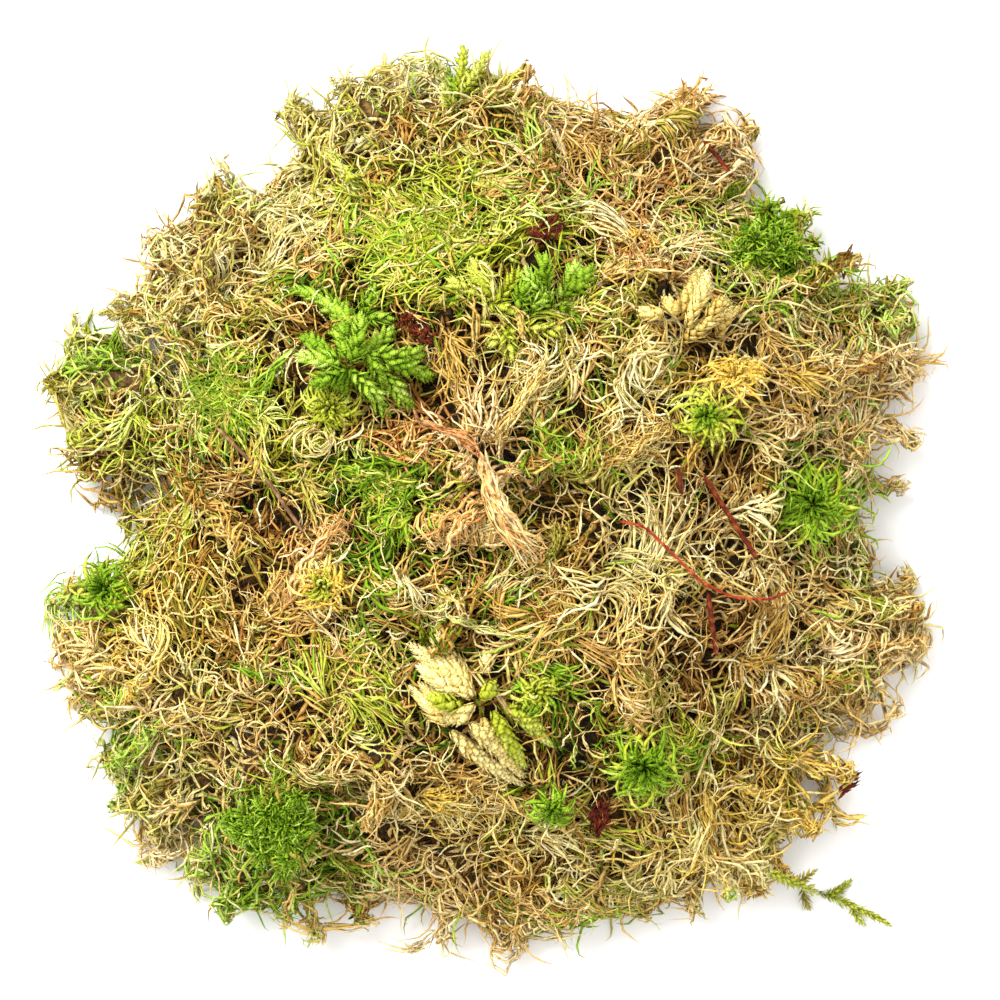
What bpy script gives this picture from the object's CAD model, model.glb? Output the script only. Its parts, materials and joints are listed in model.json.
# %% [markdown]
# # A heap of moss
# This lesson dresses a packed heap of sphagnum moss. Its plain solids hold the places and sizes.
# Moss is thousands of thin branches, so most of the work is one branch, modelled once,
# and the rules by which its copies lie. The frame comes first, because every place is read from it.

# %% Load the frame
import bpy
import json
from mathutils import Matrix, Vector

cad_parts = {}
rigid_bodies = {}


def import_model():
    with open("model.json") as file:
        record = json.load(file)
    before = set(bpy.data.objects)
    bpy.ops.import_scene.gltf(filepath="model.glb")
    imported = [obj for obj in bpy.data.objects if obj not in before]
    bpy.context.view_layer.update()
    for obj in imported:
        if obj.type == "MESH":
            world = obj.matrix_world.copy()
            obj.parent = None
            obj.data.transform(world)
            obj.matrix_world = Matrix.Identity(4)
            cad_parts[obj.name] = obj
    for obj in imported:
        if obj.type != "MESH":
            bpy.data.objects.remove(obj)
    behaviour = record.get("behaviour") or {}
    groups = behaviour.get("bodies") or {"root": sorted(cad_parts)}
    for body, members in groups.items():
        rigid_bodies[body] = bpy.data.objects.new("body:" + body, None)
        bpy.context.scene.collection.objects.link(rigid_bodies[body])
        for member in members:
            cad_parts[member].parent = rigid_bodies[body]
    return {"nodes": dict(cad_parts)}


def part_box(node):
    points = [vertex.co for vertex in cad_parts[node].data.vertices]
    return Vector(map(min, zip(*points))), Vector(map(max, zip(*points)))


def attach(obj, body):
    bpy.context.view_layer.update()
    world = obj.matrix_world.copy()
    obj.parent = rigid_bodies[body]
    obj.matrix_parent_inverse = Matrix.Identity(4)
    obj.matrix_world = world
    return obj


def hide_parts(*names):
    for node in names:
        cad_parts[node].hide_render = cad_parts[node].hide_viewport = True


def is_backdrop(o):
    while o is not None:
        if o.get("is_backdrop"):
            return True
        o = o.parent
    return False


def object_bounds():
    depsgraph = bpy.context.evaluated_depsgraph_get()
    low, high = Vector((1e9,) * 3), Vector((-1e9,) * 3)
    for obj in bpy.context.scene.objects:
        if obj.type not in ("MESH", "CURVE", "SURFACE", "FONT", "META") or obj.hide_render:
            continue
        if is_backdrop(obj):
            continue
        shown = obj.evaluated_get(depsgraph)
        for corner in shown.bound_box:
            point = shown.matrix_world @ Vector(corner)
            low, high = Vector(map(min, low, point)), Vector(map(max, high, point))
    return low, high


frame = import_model()
cad_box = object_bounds()
print("solids loaded:", len(frame["nodes"]))

# %% [markdown]
# ## Units and chance
# Moss is measured in millimetres, and Blender works in metres, so every size below is a number of mm.
# A heap looks natural through chance. One seeded generator gives the same heap every time.

# %% Units and chance
import json
import math

import bmesh
import bpy
import numpy as np
from mathutils import Vector, noise
from mathutils.bvhtree import BVHTree

MM = 0.001
chance = np.random.default_rng(2024)


def spread(low, high, count):
    """Random numbers from low to high."""
    return chance.uniform(low, high, count)


def unit(vectors):
    """The same directions with length 1."""
    return vectors / np.maximum(np.linalg.norm(vectors, axis=-1, keepdims=True), 1e-12)


def turned(vectors, axes, degrees):
    """Vectors turned about unit axes."""
    angle = np.radians(degrees)[..., None]
    along = (vectors * axes).sum(-1, keepdims=True) * axes * (1 - np.cos(angle))
    return vectors * np.cos(angle) + np.cross(axes, vectors) * np.sin(angle) + along


def level(angle):
    """Level directions from angles in radians."""
    return np.stack([np.cos(angle), np.sin(angle), np.zeros(len(angle))], 1)


print("a millimetre in metres:", MM)

# %% [markdown]
# ## The skin that the branches lie on
# The solids of the bed and its tufts overlap like lumps of dough. A hand that lays moss feels one
# rounded surface, so copies of them are joined and remeshed into one closed skin.
# Every branch then finds its place as the nearest point of that skin.

# %% The skin of the heap
BED_NODES = [name for name in frame["nodes"] if name == "moss_bed" or name.startswith("tuft_")]
SKIN_VOXEL = 1.2


def deselect():
    """Leaves nothing selected."""
    for item in bpy.context.view_layer.objects:
        item.select_set(False)


def pick(*items):
    """Selects these objects alone, with the first one active."""
    deselect()
    for item in items:
        item.select_set(True)
    bpy.context.view_layer.objects.active = items[0]


def copied(nodes, name):
    """One new object from copies of CAD nodes, with its doubles merged."""
    copies = []
    for node in nodes:
        item = bpy.data.objects.new(name, frame["nodes"][node].data.copy())
        bpy.context.scene.collection.objects.link(item)
        copies.append(item)
    pick(*copies)
    if len(copies) > 1:
        bpy.ops.object.join()
    item = bpy.context.view_layer.objects.active
    bpy.ops.object.mode_set(mode="EDIT")
    bpy.ops.mesh.select_all(action="SELECT")
    bpy.ops.mesh.remove_doubles(threshold=1e-6)
    bpy.ops.object.mode_set(mode="OBJECT")
    item.name = name
    item.data.materials.clear()
    return item


def shaped_by(item, kind, **settings):
    """Adds a modifier and applies it."""
    pick(item)
    modifier = item.modifiers.new(kind.lower(), kind)
    for name, value in settings.items():
        setattr(modifier, name, value)
    bpy.ops.object.modifier_apply(modifier=modifier.name)
    return item


skin = copied(BED_NODES, "skin")
shaped_by(skin, "REMESH", mode="VOXEL", voxel_size=SKIN_VOXEL * MM)
shaped_by(skin, "SMOOTH", factor=0.5, iterations=4)
print("skin faces:", len(skin.data.polygons))

# %% [markdown]
# ## One branch, modelled once
# A sphagnum branch is a thin tapering thread that is wrapped in tiny leaves, a little thicker a third
# of the way up and pointed at both ends. A three-sided cone is cut into rings, each ring gets its own
# width and a twist, and the edges then break the light as small leaves do. Three sides are enough for
# a thread under a millimetre wide, and thousands of copies stay light.

# %% Model a branch
SCALE_TWIST = 37


def open_cone(sides, radius):
    """A cone of length 1 that points up, open for editing."""
    deselect()
    bpy.ops.mesh.primitive_cone_add(
        vertices=sides, radius1=radius, radius2=0, depth=1, end_fill_type="TRIFAN", location=(0, 0, 0.5)
    )
    bpy.ops.object.transform_apply(location=True)
    bpy.ops.object.mode_set(mode="EDIT")
    return bpy.context.active_object


def cut_across(height):
    """Cuts the open shape level at a height."""
    bpy.ops.mesh.select_all(action="SELECT")
    bpy.ops.mesh.bisect(plane_co=(0, 0, height), plane_no=(0, 0, 1))


def select_where(item, wanted):
    """Selects the points of the open shape that pass a test."""
    bpy.ops.mesh.select_all(action="DESELECT")
    shape = bmesh.from_edit_mesh(item.data)
    for vert in shape.verts:
        vert.select = wanted(vert.co)
    shape.select_flush_mode()
    bmesh.update_edit_mesh(item.data)


def taken_out(item):
    """The points and faces of a finished model, which leaves the scene."""
    bpy.ops.object.mode_set(mode="OBJECT")
    verts = np.array([vert.co for vert in item.data.vertices])
    faces = [list(face.vertices) for face in item.data.polygons]
    bpy.data.objects.remove(item)
    return {"verts": verts, "faces": faces}


def leafy_width(along):
    """How wide a branch is at a place along it."""
    return (0.62 + 0.9 * along) if along < 0.42 else 1.4 * (1 - along) ** 0.62


def model_branch(rings, sides=3, leafy=0.14, width=leafy_width):
    """A straight branch of length 1 and radius 1, with points for its root, rings and tip."""
    item = open_cone(sides, 1)
    steps = rings + 1
    for ring in range(2, steps):
        cut_across(ring / steps)
    select_where(item, lambda point: abs(point.z) < 1e-4 and point.xy.length > 0.5)
    bpy.ops.transform.translate(value=(0, 0, 1 / steps))
    for ring in range(1, steps):
        along = ring / steps
        select_where(item, lambda point: abs(point.z - along) < 1e-3)
        now = 1 - (ring if ring > 1 else 0) / steps
        wanted = width(along) * (1 + leafy * (-1) ** ring)
        bpy.ops.transform.resize(value=(wanted / now, wanted / now, 1), center_override=(0, 0, along))
        bpy.ops.transform.rotate(
            value=math.radians(SCALE_TWIST * ring), orient_axis="Z", center_override=(0, 0, along)
        )
    made = taken_out(item)
    station = np.rint(made["verts"][:, 2] * steps).astype(int)
    return {**made, "station": station, "points": steps + 1}


BRANCHES = {rings: model_branch(rings) for rings in (3, 4, 5, 6, 7)}
print("branch faces:", {rings: len(made["faces"]) for rings, made in BRANCHES.items()})

# %% [markdown]
# ## Copies joined into a few meshes
# Thousands of separate objects would be slow, and an export drops instances. Each copy is bent along
# its own line and written into one mesh. The UV map holds the copy's tint across and its length
# upwards, so a finish can shade a branch from root to tip, and all copies of a tint share a colour.

# %% Lay copies along lines
BANDS = ("straw", "olive", "gold", "green", "lime", "cream", "peach", "brown", "deep", "tan", "rust")
TINT_WIDTH = 0.004
TINT_LIMITS = (0.03, 0.97)
TABLE_TOUCH = 0.05


def frames_along(lines):
    """Two side directions at each point of each line, carried along without twist."""
    ahead = np.empty_like(lines)
    ahead[:, 1:-1] = lines[:, 2:] - lines[:, :-2]
    ahead[:, 0] = lines[:, 1] - lines[:, 0]
    ahead[:, -1] = lines[:, -1] - lines[:, -2]
    ahead = unit(ahead)
    side = np.empty_like(lines)
    current = unit(chance.normal(size=(len(lines), 3)))
    for k in range(lines.shape[1]):
        along = ahead[:, k]
        current = unit(current - (current * along).sum(-1, keepdims=True) * along)
        side[:, k] = current
    return side, np.cross(ahead, side)


def repeated(shape, verts, tint, upwards, band):
    """Arrays of a shape's copies, to be joined: their points, faces, UV places and finishes."""
    count = len(verts)
    tint = np.clip(np.broadcast_to(tint, (count,)), *TINT_LIMITS)
    band = np.broadcast_to(band, (count,))
    across = (band[:, None] + tint[:, None] + TINT_WIDTH * shape["verts"][None, :, 0]) / len(BANDS)
    loops = np.concatenate([np.asarray(face) for face in shape["faces"]])
    totals = np.array([len(face) for face in shape["faces"]])
    return {
        "verts": verts.reshape(-1, 3),
        "loops": (loops[None] + len(shape["verts"]) * np.arange(count)[:, None]).ravel(),
        "totals": np.tile(totals, count),
        "across": across.ravel(),
        "upwards": np.broadcast_to(upwards, across.shape).ravel(),
        "bands": np.repeat(band, len(totals)),
    }


def bent_copies(lines, radius, tint, band, flat=1.0, shape=None):
    """Copies of a branch bent along lines."""
    shape = shape or BRANCHES[lines.shape[1] - 2]
    side, up = frames_along(lines)
    station = shape["station"]
    width = shape["verts"][:, :2]
    radius = np.broadcast_to(radius, (len(lines),))[:, None, None]
    verts = (
        lines[:, station]
        + side[:, station] * width[None, :, 0, None] * radius * flat
        + up[:, station] * width[None, :, 1, None] * radius / flat
    )
    return repeated(shape, verts, tint, 0.02 + 0.96 * station / (shape["points"] - 1), band)


def joined(name, groups):
    """One object from groups of copies, with a material for each finish in it."""
    shift = np.cumsum([0] + [len(group["verts"]) for group in groups[:-1]])
    loops = np.concatenate([group["loops"] + start for group, start in zip(groups, shift)])
    every = {key: np.concatenate([group[key] for group in groups]) for key in groups[0]}
    every["verts"][:, 2] = np.maximum(every["verts"][:, 2], TABLE_TOUCH)
    totals = every["totals"]
    starts = np.concatenate([[0], np.cumsum(totals)[:-1]])
    present, place = np.unique(every["bands"], return_inverse=True)
    mesh = bpy.data.meshes.new(name)
    mesh.vertices.add(len(every["verts"]))
    mesh.vertices.foreach_set("co", (every["verts"] * MM).astype(np.float32).ravel())
    mesh.loops.add(len(loops))
    mesh.loops.foreach_set("vertex_index", loops.astype(np.int32))
    mesh.polygons.add(len(totals))
    mesh.polygons.foreach_set("loop_start", starts.astype(np.int32))
    mesh.polygons.foreach_set("loop_total", totals.astype(np.int32))
    for band in present:
        mesh.materials.append(FINISHES[BANDS[band]])
    mesh.polygons.foreach_set("material_index", place.astype(np.int32).ravel())
    mesh.polygons.foreach_set("use_smooth", np.ones(len(totals), bool))
    mesh.update(calc_edges=True)
    layer = mesh.uv_layers.new(name="OFBake")
    places = np.stack([every["across"][loops], every["upwards"][loops]], 1)
    layer.data.foreach_set("uv", places.astype(np.float32).ravel())
    item = bpy.data.objects.new(name, mesh)
    bpy.context.scene.collection.objects.link(item)
    return item


print("finishes to share one UV map:", len(BANDS))

# %% [markdown]
# ## Sums in a material
# A finish is worked out by nodes. One small class holds a socket, so that a sum in Python adds the
# Math node for it, and one method adds any other node with its settings and links.

# %% Sockets that can be added and multiplied
class Wire:
    """A socket in a material's node tree."""

    def __init__(self, tree, socket=None):
        self.tree = tree
        self.socket = socket

    def add(self, kind, settings=None, inputs=None, out=0):
        """Adds a node, sets it, links it and returns one of its outputs."""
        node = self.tree.nodes.new(kind)
        for name, value in (settings or {}).items():
            if name == "stops":
                self.set_stops(node.color_ramp, value)
            else:
                setattr(node, name, value)
        for name, value in (inputs or {}).items():
            if isinstance(value, Wire):
                self.tree.links.new(value.socket, node.inputs[name])
            else:
                node.inputs[name].default_value = value
        return Wire(self.tree, node.outputs[out])

    @staticmethod
    def set_stops(ramp, stops):
        """Gives a colour ramp its stops."""
        while len(ramp.elements) < len(stops):
            ramp.elements.new(0.5)
        for element, (place, colour) in zip(ramp.elements, stops):
            element.position = place
            element.color = colour

    def other(self, index):
        """Another output of the same node."""
        return Wire(self.tree, self.socket.node.outputs[index])

    def math(self, operation, first, second=0.0):
        """One Math node."""
        return self.add("ShaderNodeMath", {"operation": operation}, {0: first, 1: second})

    def __add__(self, other):
        return self.math("ADD", self, other)

    def __mul__(self, other):
        return self.math("MULTIPLY", self, other)

    def __sub__(self, other):
        return self.math("SUBTRACT", self, other)

    def __rsub__(self, other):
        return self.math("SUBTRACT", other, self)

    def __pow__(self, other):
        return self.math("POWER", self, other)

    def mix(self, share, first, second, blend="MIX"):
        """One Mix node for colours."""
        settings = {"data_type": "RGBA", "blend_type": blend}
        return self.add("ShaderNodeMix", settings, {0: share, 6: first, 7: second}, 2)

    def to(self, node, name):
        """Links this socket to a node's input."""
        self.tree.links.new(self.socket, node.inputs[name])

    def emboss(self, surface, strength, distance):
        """Lets these values raise a surface a little."""
        values = {"Strength": strength, "Distance": distance, "Height": self}
        self.add("ShaderNodeBump", None, values).to(surface, "Normal")


def new_finish(name):
    """A new material, its surface and a Wire to start from."""
    material = bpy.data.materials.new(name)
    material.use_nodes = True
    return material, material.node_tree.nodes["Principled BSDF"], Wire(material.node_tree)


def paint(red, green, blue):
    """A screen colour, 0 to 255, as the linear colour that a shader wants."""
    values = [channel / 255 for channel in (red, green, blue)]
    return tuple(v / 12.92 if v <= 0.04045 else ((v + 0.055) / 1.055) ** 2.4 for v in values) + (1.0,)


print("a mid straw in linear light:", [round(v, 3) for v in paint(200, 168, 105)])

# %% [markdown]
# ## The finishes of the branches
# Dry sphagnum is straw to cream, its shaded parts are brown, and living tips are lime to deep green.
# Each finish has a ramp over the tint of its copies. The root end is darker and browner, because it
# sits deep in the heap, and the tip paler. Fine ripples along the branch stand for its leaves.

# %% Finishes of the branches
LEAVES_ALONG = 9
ROOT_SHARE = 0.45
SHEEN = 0.15


def moss_finish(name, stops, root):
    """A finish that reads the tint and the length of a copy from its UV map."""
    material, surface, start = new_finish(name + "_moss")
    place = start.add("ShaderNodeUVMap", {"uv_map": "OFBake"})
    across = start.add("ShaderNodeSeparateXYZ", None, {0: place})
    along = across.other(1)
    tint = across * len(BANDS) - BANDS.index(name)
    ramp = [(index / (len(stops) - 1), paint(*stop)) for index, stop in enumerate(stops)]
    colour = start.add("ShaderNodeValToRGB", {"stops": ramp}, {0: tint})
    fine = start.add("ShaderNodeVectorMath", {"operation": "MULTIPLY"}, {0: place, 1: (900, 14, 1)})
    speck = start.add("ShaderNodeTexNoise", {"noise_dimensions": "2D"}, {"Vector": fine})
    grey = start.add("ShaderNodeCombineColor", None, {k: speck * 0.5 + 0.78 for k in range(3)})
    specked = start.mix(1.0, colour, grey, "MULTIPLY")
    shade = ((1 - along) ** 3.0) * ROOT_SHARE
    start.mix(shade, specked, paint(*root)).to(surface, "Base Color")
    start.math("SINE", along * (LEAVES_ALONG * 2 * math.pi)).emboss(surface, 0.5, 0.00012)
    (speck * 0.2 + 0.5).to(surface, "Roughness")
    surface.inputs["Specular IOR Level"].default_value = SHEEN
    return material


PALETTES = {
    "straw": [(118, 80, 20), (174, 132, 50), (210, 170, 80), (232, 198, 116), (243, 224, 164)],
    "tan": [(128, 82, 26), (180, 132, 56), (212, 168, 88), (232, 198, 128), (244, 224, 172)],
    "olive": [(86, 76, 16), (128, 116, 32), (166, 154, 54), (198, 188, 92), (228, 220, 156)],
    "gold": [(132, 92, 22), (188, 146, 44), (222, 184, 74), (238, 210, 112), (248, 232, 164)],
    "green": [(50, 76, 3), (88, 120, 8), (124, 158, 22), (160, 194, 52), (200, 222, 110)],
    "lime": [(94, 98, 8), (140, 146, 18), (176, 184, 46), (206, 210, 92), (230, 232, 160)],
    "cream": [(166, 130, 52), (208, 178, 92), (232, 208, 126), (241, 226, 156), (248, 240, 192)],
    "peach": [(164, 100, 40), (212, 148, 72), (236, 182, 106), (246, 206, 138), (252, 230, 178)],
    "rust": [(84, 42, 14), (136, 76, 32), (178, 112, 58), (208, 148, 90), (234, 190, 136)],
    "brown": [(74, 42, 10), (112, 74, 22), (148, 104, 38), (180, 136, 66), (206, 168, 100)],
    "deep": [(38, 64, 2), (68, 100, 6), (98, 134, 12), (132, 168, 28), (168, 198, 70)],
}
ROOTS = {
    "peach": (140, 92, 44), "cream": (120, 92, 42), "green": (58, 66, 12), "lime": (66, 66, 14),
    "deep": (20, 48, 4), "brown": (52, 32, 14), "tan": (106, 68, 24), "rust": (70, 36, 14),
}
ROOT_BROWN = (94, 60, 18)
FINISHES = {name: moss_finish(name, stops, ROOTS.get(name, ROOT_BROWN)) for name, stops in PALETTES.items()}
print("finishes:", ", ".join(FINISHES))

# %% [markdown]
# ## Lines that creep over the heap
# A branch in a heap lies along the surface, bends over humps, bridges small gaps and curls at its tip.
# Each line is walked step by step: at every step it is drawn to the skin, lifted or sunk a little,
# and turned. A line that leaves an edge keeps going and droops, and nothing sinks into the table.

# %% Walk lines over the skin
TABLE_GAP = 0.4
RIM_HEIGHT = 20
DROOP = 0.1


def surface_tree(item, keep=None):
    """A search tree of an object's faces, in millimetres."""
    verts = [vert.co / MM for vert in item.data.vertices]
    faces = [list(face.vertices) for face in item.data.polygons if keep is None or keep(face)]
    return BVHTree.FromPolygons(verts, faces)


skin_tree = surface_tree(skin, lambda face: face.center.z > 0.6 * MM)


def nearest(points, tree=None):
    """The nearest places of the skin and its outward directions there."""
    tree = tree or skin_tree
    places = np.empty_like(points)
    outward = np.empty_like(points)
    for index, point in enumerate(points):
        place, normal, _, _ = tree.find_nearest(point)
        places[index] = place
        outward[index] = normal
    return places, outward


def above_table(lines):
    """Lines whose points are lifted out of the table."""
    lines[..., 2] = np.maximum(lines[..., 2], TABLE_GAP)
    return lines


def walk(start, heading, length, heights, turns, tree=None):
    """Lines over the skin from a start, a direction, a length, and a height and a turn at each step."""
    count, steps = heights.shape
    lines = np.empty((count, steps, 3))
    here = start.copy()
    stride = np.broadcast_to(length, (count,))[:, None] / (steps - 1)
    hug = np.clip(start[:, 2:] / RIM_HEIGHT, 0.12, 0.55)
    for k in range(steps):
        place, outward = nearest(here, tree)
        off = here - place
        outside = (off * outward).sum(-1, keepdims=True)
        here = np.where(outside > 0, place + off * (1 - hug * np.minimum(1, stride)), place)
        lines[:, k] = here + outward * heights[:, k, None]
        heading = heading - outward * (heading * outward).sum(-1, keepdims=True) * 0.85
        heading[:, 2] -= DROOP * (outside[:, 0] > 0.35)
        heading = turned(unit(heading), outward, turns[:, k])
        here = here + heading * stride
    return above_table(lines)


print("faces to lie on:", len(skin.data.polygons))

# %% [markdown]
# ## Places for the sprays
# The branches of one moss plant leave its stem together, so the heap is a jumble of sprays that each
# point one way. Their roots are scattered with a least distance between them, and neighbours share a
# rough direction, because the plants were pulled out in handfuls. Near the rim they point outwards.

# %% Scatter the sprays
SPRAY_GAP = 3.6
HANDFULS = 90
NEIGHBOURS = [(dx, dy, dz) for dx in (-1, 0, 1) for dy in (-1, 0, 1) for dz in (-1, 0, 1)]


def scattered(item, gap, tries, low, facing):
    """Random places on an object's faces, in millimetres, at least a gap apart."""
    faces = [f for f in item.data.polygons if f.center.z > low * MM and facing(f.normal)]
    areas = np.array([face.area for face in faces])
    picks = chance.choice(len(faces), tries, p=areas / areas.sum())
    mix = chance.uniform(size=(tries, 2))
    taken = {}
    kept = []
    for pick_index, (first, second) in zip(picks, mix):
        corners = [item.data.vertices[v].co for v in faces[pick_index].vertices]
        point = corners[0].lerp(corners[1], first).lerp(corners[2].lerp(corners[-1], first), second) / MM
        cell = [math.floor(value / gap) for value in point]
        near = (taken.get((cell[0] + dx, cell[1] + dy, cell[2] + dz), ()) for dx, dy, dz in NEIGHBOURS)
        if all((other - point).length >= gap for others in near for other in others):
            taken.setdefault(tuple(cell), []).append(point)
            kept.append(point)
    return np.array(kept)


spray_roots = scattered(skin, SPRAY_GAP, 14000, 0.8, lambda normal: normal.z > -0.3)
handful_places = spray_roots[chance.choice(len(spray_roots), HANDFULS, replace=False)]
handful_turns = chance.normal(0, 75, HANDFULS)
print("sprays:", len(spray_roots))

# %% [markdown]
# ## Colours by place
# The heap is mostly straw, with named patches of green, lime, gold and cream where other plants lie.
# Each row gives the finish, the place and the reach of a patch in millimetres, and the share of its
# sprays that take the finish. Hollows are places where the sprays thin out and the dark core shows.

# %% Patches and hollows
PATCHES = (
    ("tan", 62, -8, 20, 0.7), ("tan", 52, -30, 22, 0.7), ("tan", 46, 8, 15, 0.55), ("tan", 66, 22, 12, 0.7),
    ("tan", 12, 57, 18, 0.65), ("tan", 30, 45, 16, 0.55), ("tan", 58, -35, 16, 0.7),
    ("tan", 25, -14, 15, 0.45), ("tan", 42, -18, 18, 0.5), ("tan", -30, -46, 20, 0.4),
    ("tan", 2, -62, 22, 0.55), ("tan", -50, 36, 15, 0.5), ("tan", -22, -22, 16, 0.4),
    ("tan", 34, 62, 14, 0.6), ("cream", -16, 60, 12, 0.3), ("cream", 62, -22, 14, 0.3),
    ("cream", -44, 34, 14, 0.3), ("lime", -13, 41, 9.5, 0.85), ("lime", -1.5, 42, 10, 0.85),
    ("lime", 3, 28, 5.5, 0.8), ("lime", -4, 68, 5, 0.9), ("lime", -24, 45.5, 6, 0.5),
    ("olive", -27, 60.5, 7, 0.85), ("olive", -20.5, 65, 6, 0.6), ("green", -41, 15.5, 7.5, 0.75),
    ("lime", -31.5, 10.5, 7.5, 0.8), ("lime", -23.5, 13.5, 5, 0.8), ("lime", -21, 6.5, 6.5, 0.5),
    ("lime", -57.5, 15.5, 9.5, 0.55), ("lime", -53, 10.5, 7, 0.6), ("olive", -67.5, 15.5, 6.5, 0.7),
    ("deep", -59.5, 22.5, 4, 0.8), ("green", -13, -1, 8, 0.75), ("green", -6.5, 3.5, 5, 0.5),
    ("green", -17.5, 33.5, 6.5, 0.5), ("green", -61.5, -13.5, 6, 0.85), ("lime", -53, -11.5, 6.5, 0.8),
    ("gold", -53, -18.5, 7.5, 0.8), ("gold", -25, -14, 5, 0.7), ("green", 4.5, -20, 6, 0.6),
    ("green", 11.5, -27.5, 5, 0.65), ("green", 3, -13, 5, 0.4), ("lime", -14.5, -33, 7, 0.55),
    ("green", -20, -30.5, 6, 0.3), ("green", 25.5, -41, 7, 0.8), ("olive", 34, -32.5, 7.5, 0.5),
    ("lime", 45.5, -38.5, 7, 0.45), ("green", 13.5, 7.5, 6, 0.6), ("olive", 15.5, 15, 6.5, 0.5),
    ("olive", 16, -8, 6.5, 0.5), ("green", 53.5, -0.5, 7.5, 0.8), ("lime", 56, -10, 5.5, 0.4),
    ("lime", 56, -21.5, 5, 0.35), ("green", 45.5, 40.5, 8.5, 0.8), ("lime", 37.5, 39.5, 6.5, 0.6),
    ("green", 59, 29.5, 5.5, 0.7), ("olive", 51, 32.5, 7, 0.45), ("green", 14.5, 45.5, 5, 0.7),
    ("lime", 10.5, 35.5, 7.5, 0.8), ("deep", -31.5, -51, 8, 0.9), ("green", -24, -57, 6, 0.6),
    ("green", -37.5, -63, 6.5, 0.8), ("olive", -51, -42.5, 8.5, 0.7), ("green", -56, -39.5, 6, 0.6),
    ("lime", -59.5, -52, 4.5, 0.6), ("green", 17.5, -67, 7, 0.7), ("lime", 9.5, -48.5, 5.5, 0.6),
    ("green", 12.5, -41, 6, 0.35), ("olive", 25.5, -61.5, 6.5, 0.4), ("lime", -8, -31, 6, 0.4),
    ("lime", 35, 15.5, 6, 0.7), ("gold", 45, -48, 11, 0.8), ("gold", 32, -53.5, 7.5, 0.5),
    ("gold", 11, -57, 7.5, 0.5), ("gold", -4.5, -50.5, 6.5, 0.6), ("gold", -49.5, -24.5, 8, 0.6),
    ("gold", 38.5, 19, 5, 0.7), ("cream", 33.5, -10, 10, 0.6), ("cream", 28, 30, 9.5, 0.45),
    ("cream", 6.5, 18, 6.5, 0.5), ("cream", 26.5, 10, 6, 0.6), ("cream", -15.5, -15, 6.5, 0.5),
    ("cream", -6.5, -43, 9.5, 0.35), ("cream", -39.5, 35.5, 9.5, 0.35), ("cream", 14.5, -53.5, 7.5, 0.5),
    ("cream", 60.5, -10, 8, 0.4), ("peach", -27.5, -23, 7.5, 0.4), ("peach", -5, 6, 6.5, 0.6),
    ("peach", -29, -10, 6, 0.5), ("peach", 0.5, -4.5, 8, 0.6), ("peach", 24, 41, 6.5, 0.5),
    ("brown", 36, 2.5, 6.5, 0.6), ("brown", 37, -21.5, 6.5, 0.6), ("brown", 19.5, -50.5, 6, 0.7),
    ("brown", -48, 42.5, 6.5, 0.35), ("brown", 14.5, 53, 9.5, 0.4), ("brown", -30.5, -4, 7, 0.5),
    ("brown", 12.5, -39, 6.5, 0.5), ("olive", -35.5, 50.5, 11, 0.5), ("olive", -45, 26.5, 11, 0.4),
    ("olive", -37, -24.5, 9.5, 0.3), ("rust", 31, 37, 5, 0.25), ("olive", 0, 58.5, 9.5, 0.4),
)
HOLLOWS = np.array([
    (-9.5, 26.5, 3), (-15.5, 30.5, 2), (-30.5, -4, 4), (35, 2.5, 3), (37, -21.5, 4), (19.5, -48.5, 4),
    (12.5, -39.5, 3), (-46.5, 6.5, 3.5), (7, -10, 2), (25.5, -25.5, 2.5), (-1.5, -63, 2.5), (-29, 19, 2.5),
    (30.5, 36.5, 2), (-37, -38, 2), (56, 7.5, 2),
])
LIT = np.array([
    (-21, 59, 10, 0.3), (-57, 27, 13, 0.25), (59, 20, 15, 0.3), (-47, -56, 12, 0.3), (30, -50, 13, 0.2),
    (40, 47, 11, 0.2), (63, -24, 9, 0.15), (7, 3, 6, 0.3), (-61, -20, 8, 0.15), (-41, -37, 6, 0.2),
    (-13, 40, 12, -0.1), (-51, -3, 11, -0.2), (-39, -25, 9, -0.15), (-9, -5, 5, -0.15), (9, -20, 6, -0.15),
])
COMMON = {"straw": 0.5, "tan": 0.17, "olive": 0.12, "lime": 0.05, "green": 0.03, "cream": 0.08, "brown": 0.05}


def one_of(finishes, count, shares=None):
    """A finish for each of some copies, by chance."""
    return chance.choice([BANDS.index(name) for name in finishes], count, p=shares)


def finish_at(points):
    """The finish of each place, by the patches and by chance."""
    found = one_of(COMMON, len(points), list(COMMON.values()))
    for name, x, y, reach, share in PATCHES:
        away = np.hypot(points[:, 0] - x, points[:, 1] - y) / reach
        odds = share * np.clip(1.6 - away, 0, 1)
        found = np.where(chance.uniform(size=len(points)) < odds, BANDS.index(name), found)
    return found


def partly(name, share, points):
    """One finish for a share of the places, and for the others the finish of their place."""
    return np.where(chance.uniform(size=len(points)) < share, BANDS.index(name), finish_at(points))


def reached(points, rows):
    """How far each place lies from each row's place, as a share of the row's reach."""
    return np.hypot(points[:, None, 0] - rows[:, 0], points[:, None, 1] - rows[:, 1]) / rows[:, 2]


def hollow_at(points):
    """1 in the middle of a hollow and 0 outside."""
    return np.clip(1.5 - reached(points, HOLLOWS), 0, 1).max(1)


def lit_at(points):
    """How much paler or darker the branches of each place are."""
    return (LIT[:, 3] * np.clip(1.4 - reached(points, LIT), 0, 1)).sum(1)


print("patches:", len(PATCHES), "hollows:", len(HOLLOWS), "lit places:", len(LIT))

# %% [markdown]
# ## Heads that the sprays leave free
# Rosettes, cones and leafy shoots sit on the heap and would vanish under the straw. Their places are
# read from their solids, and sprays start outside them.

# %% Where the heads are
HEADS = [name for name in frame["nodes"] if name.startswith(("rosette_", "leafy_", "cream_head", "cushion_"))]


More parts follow.
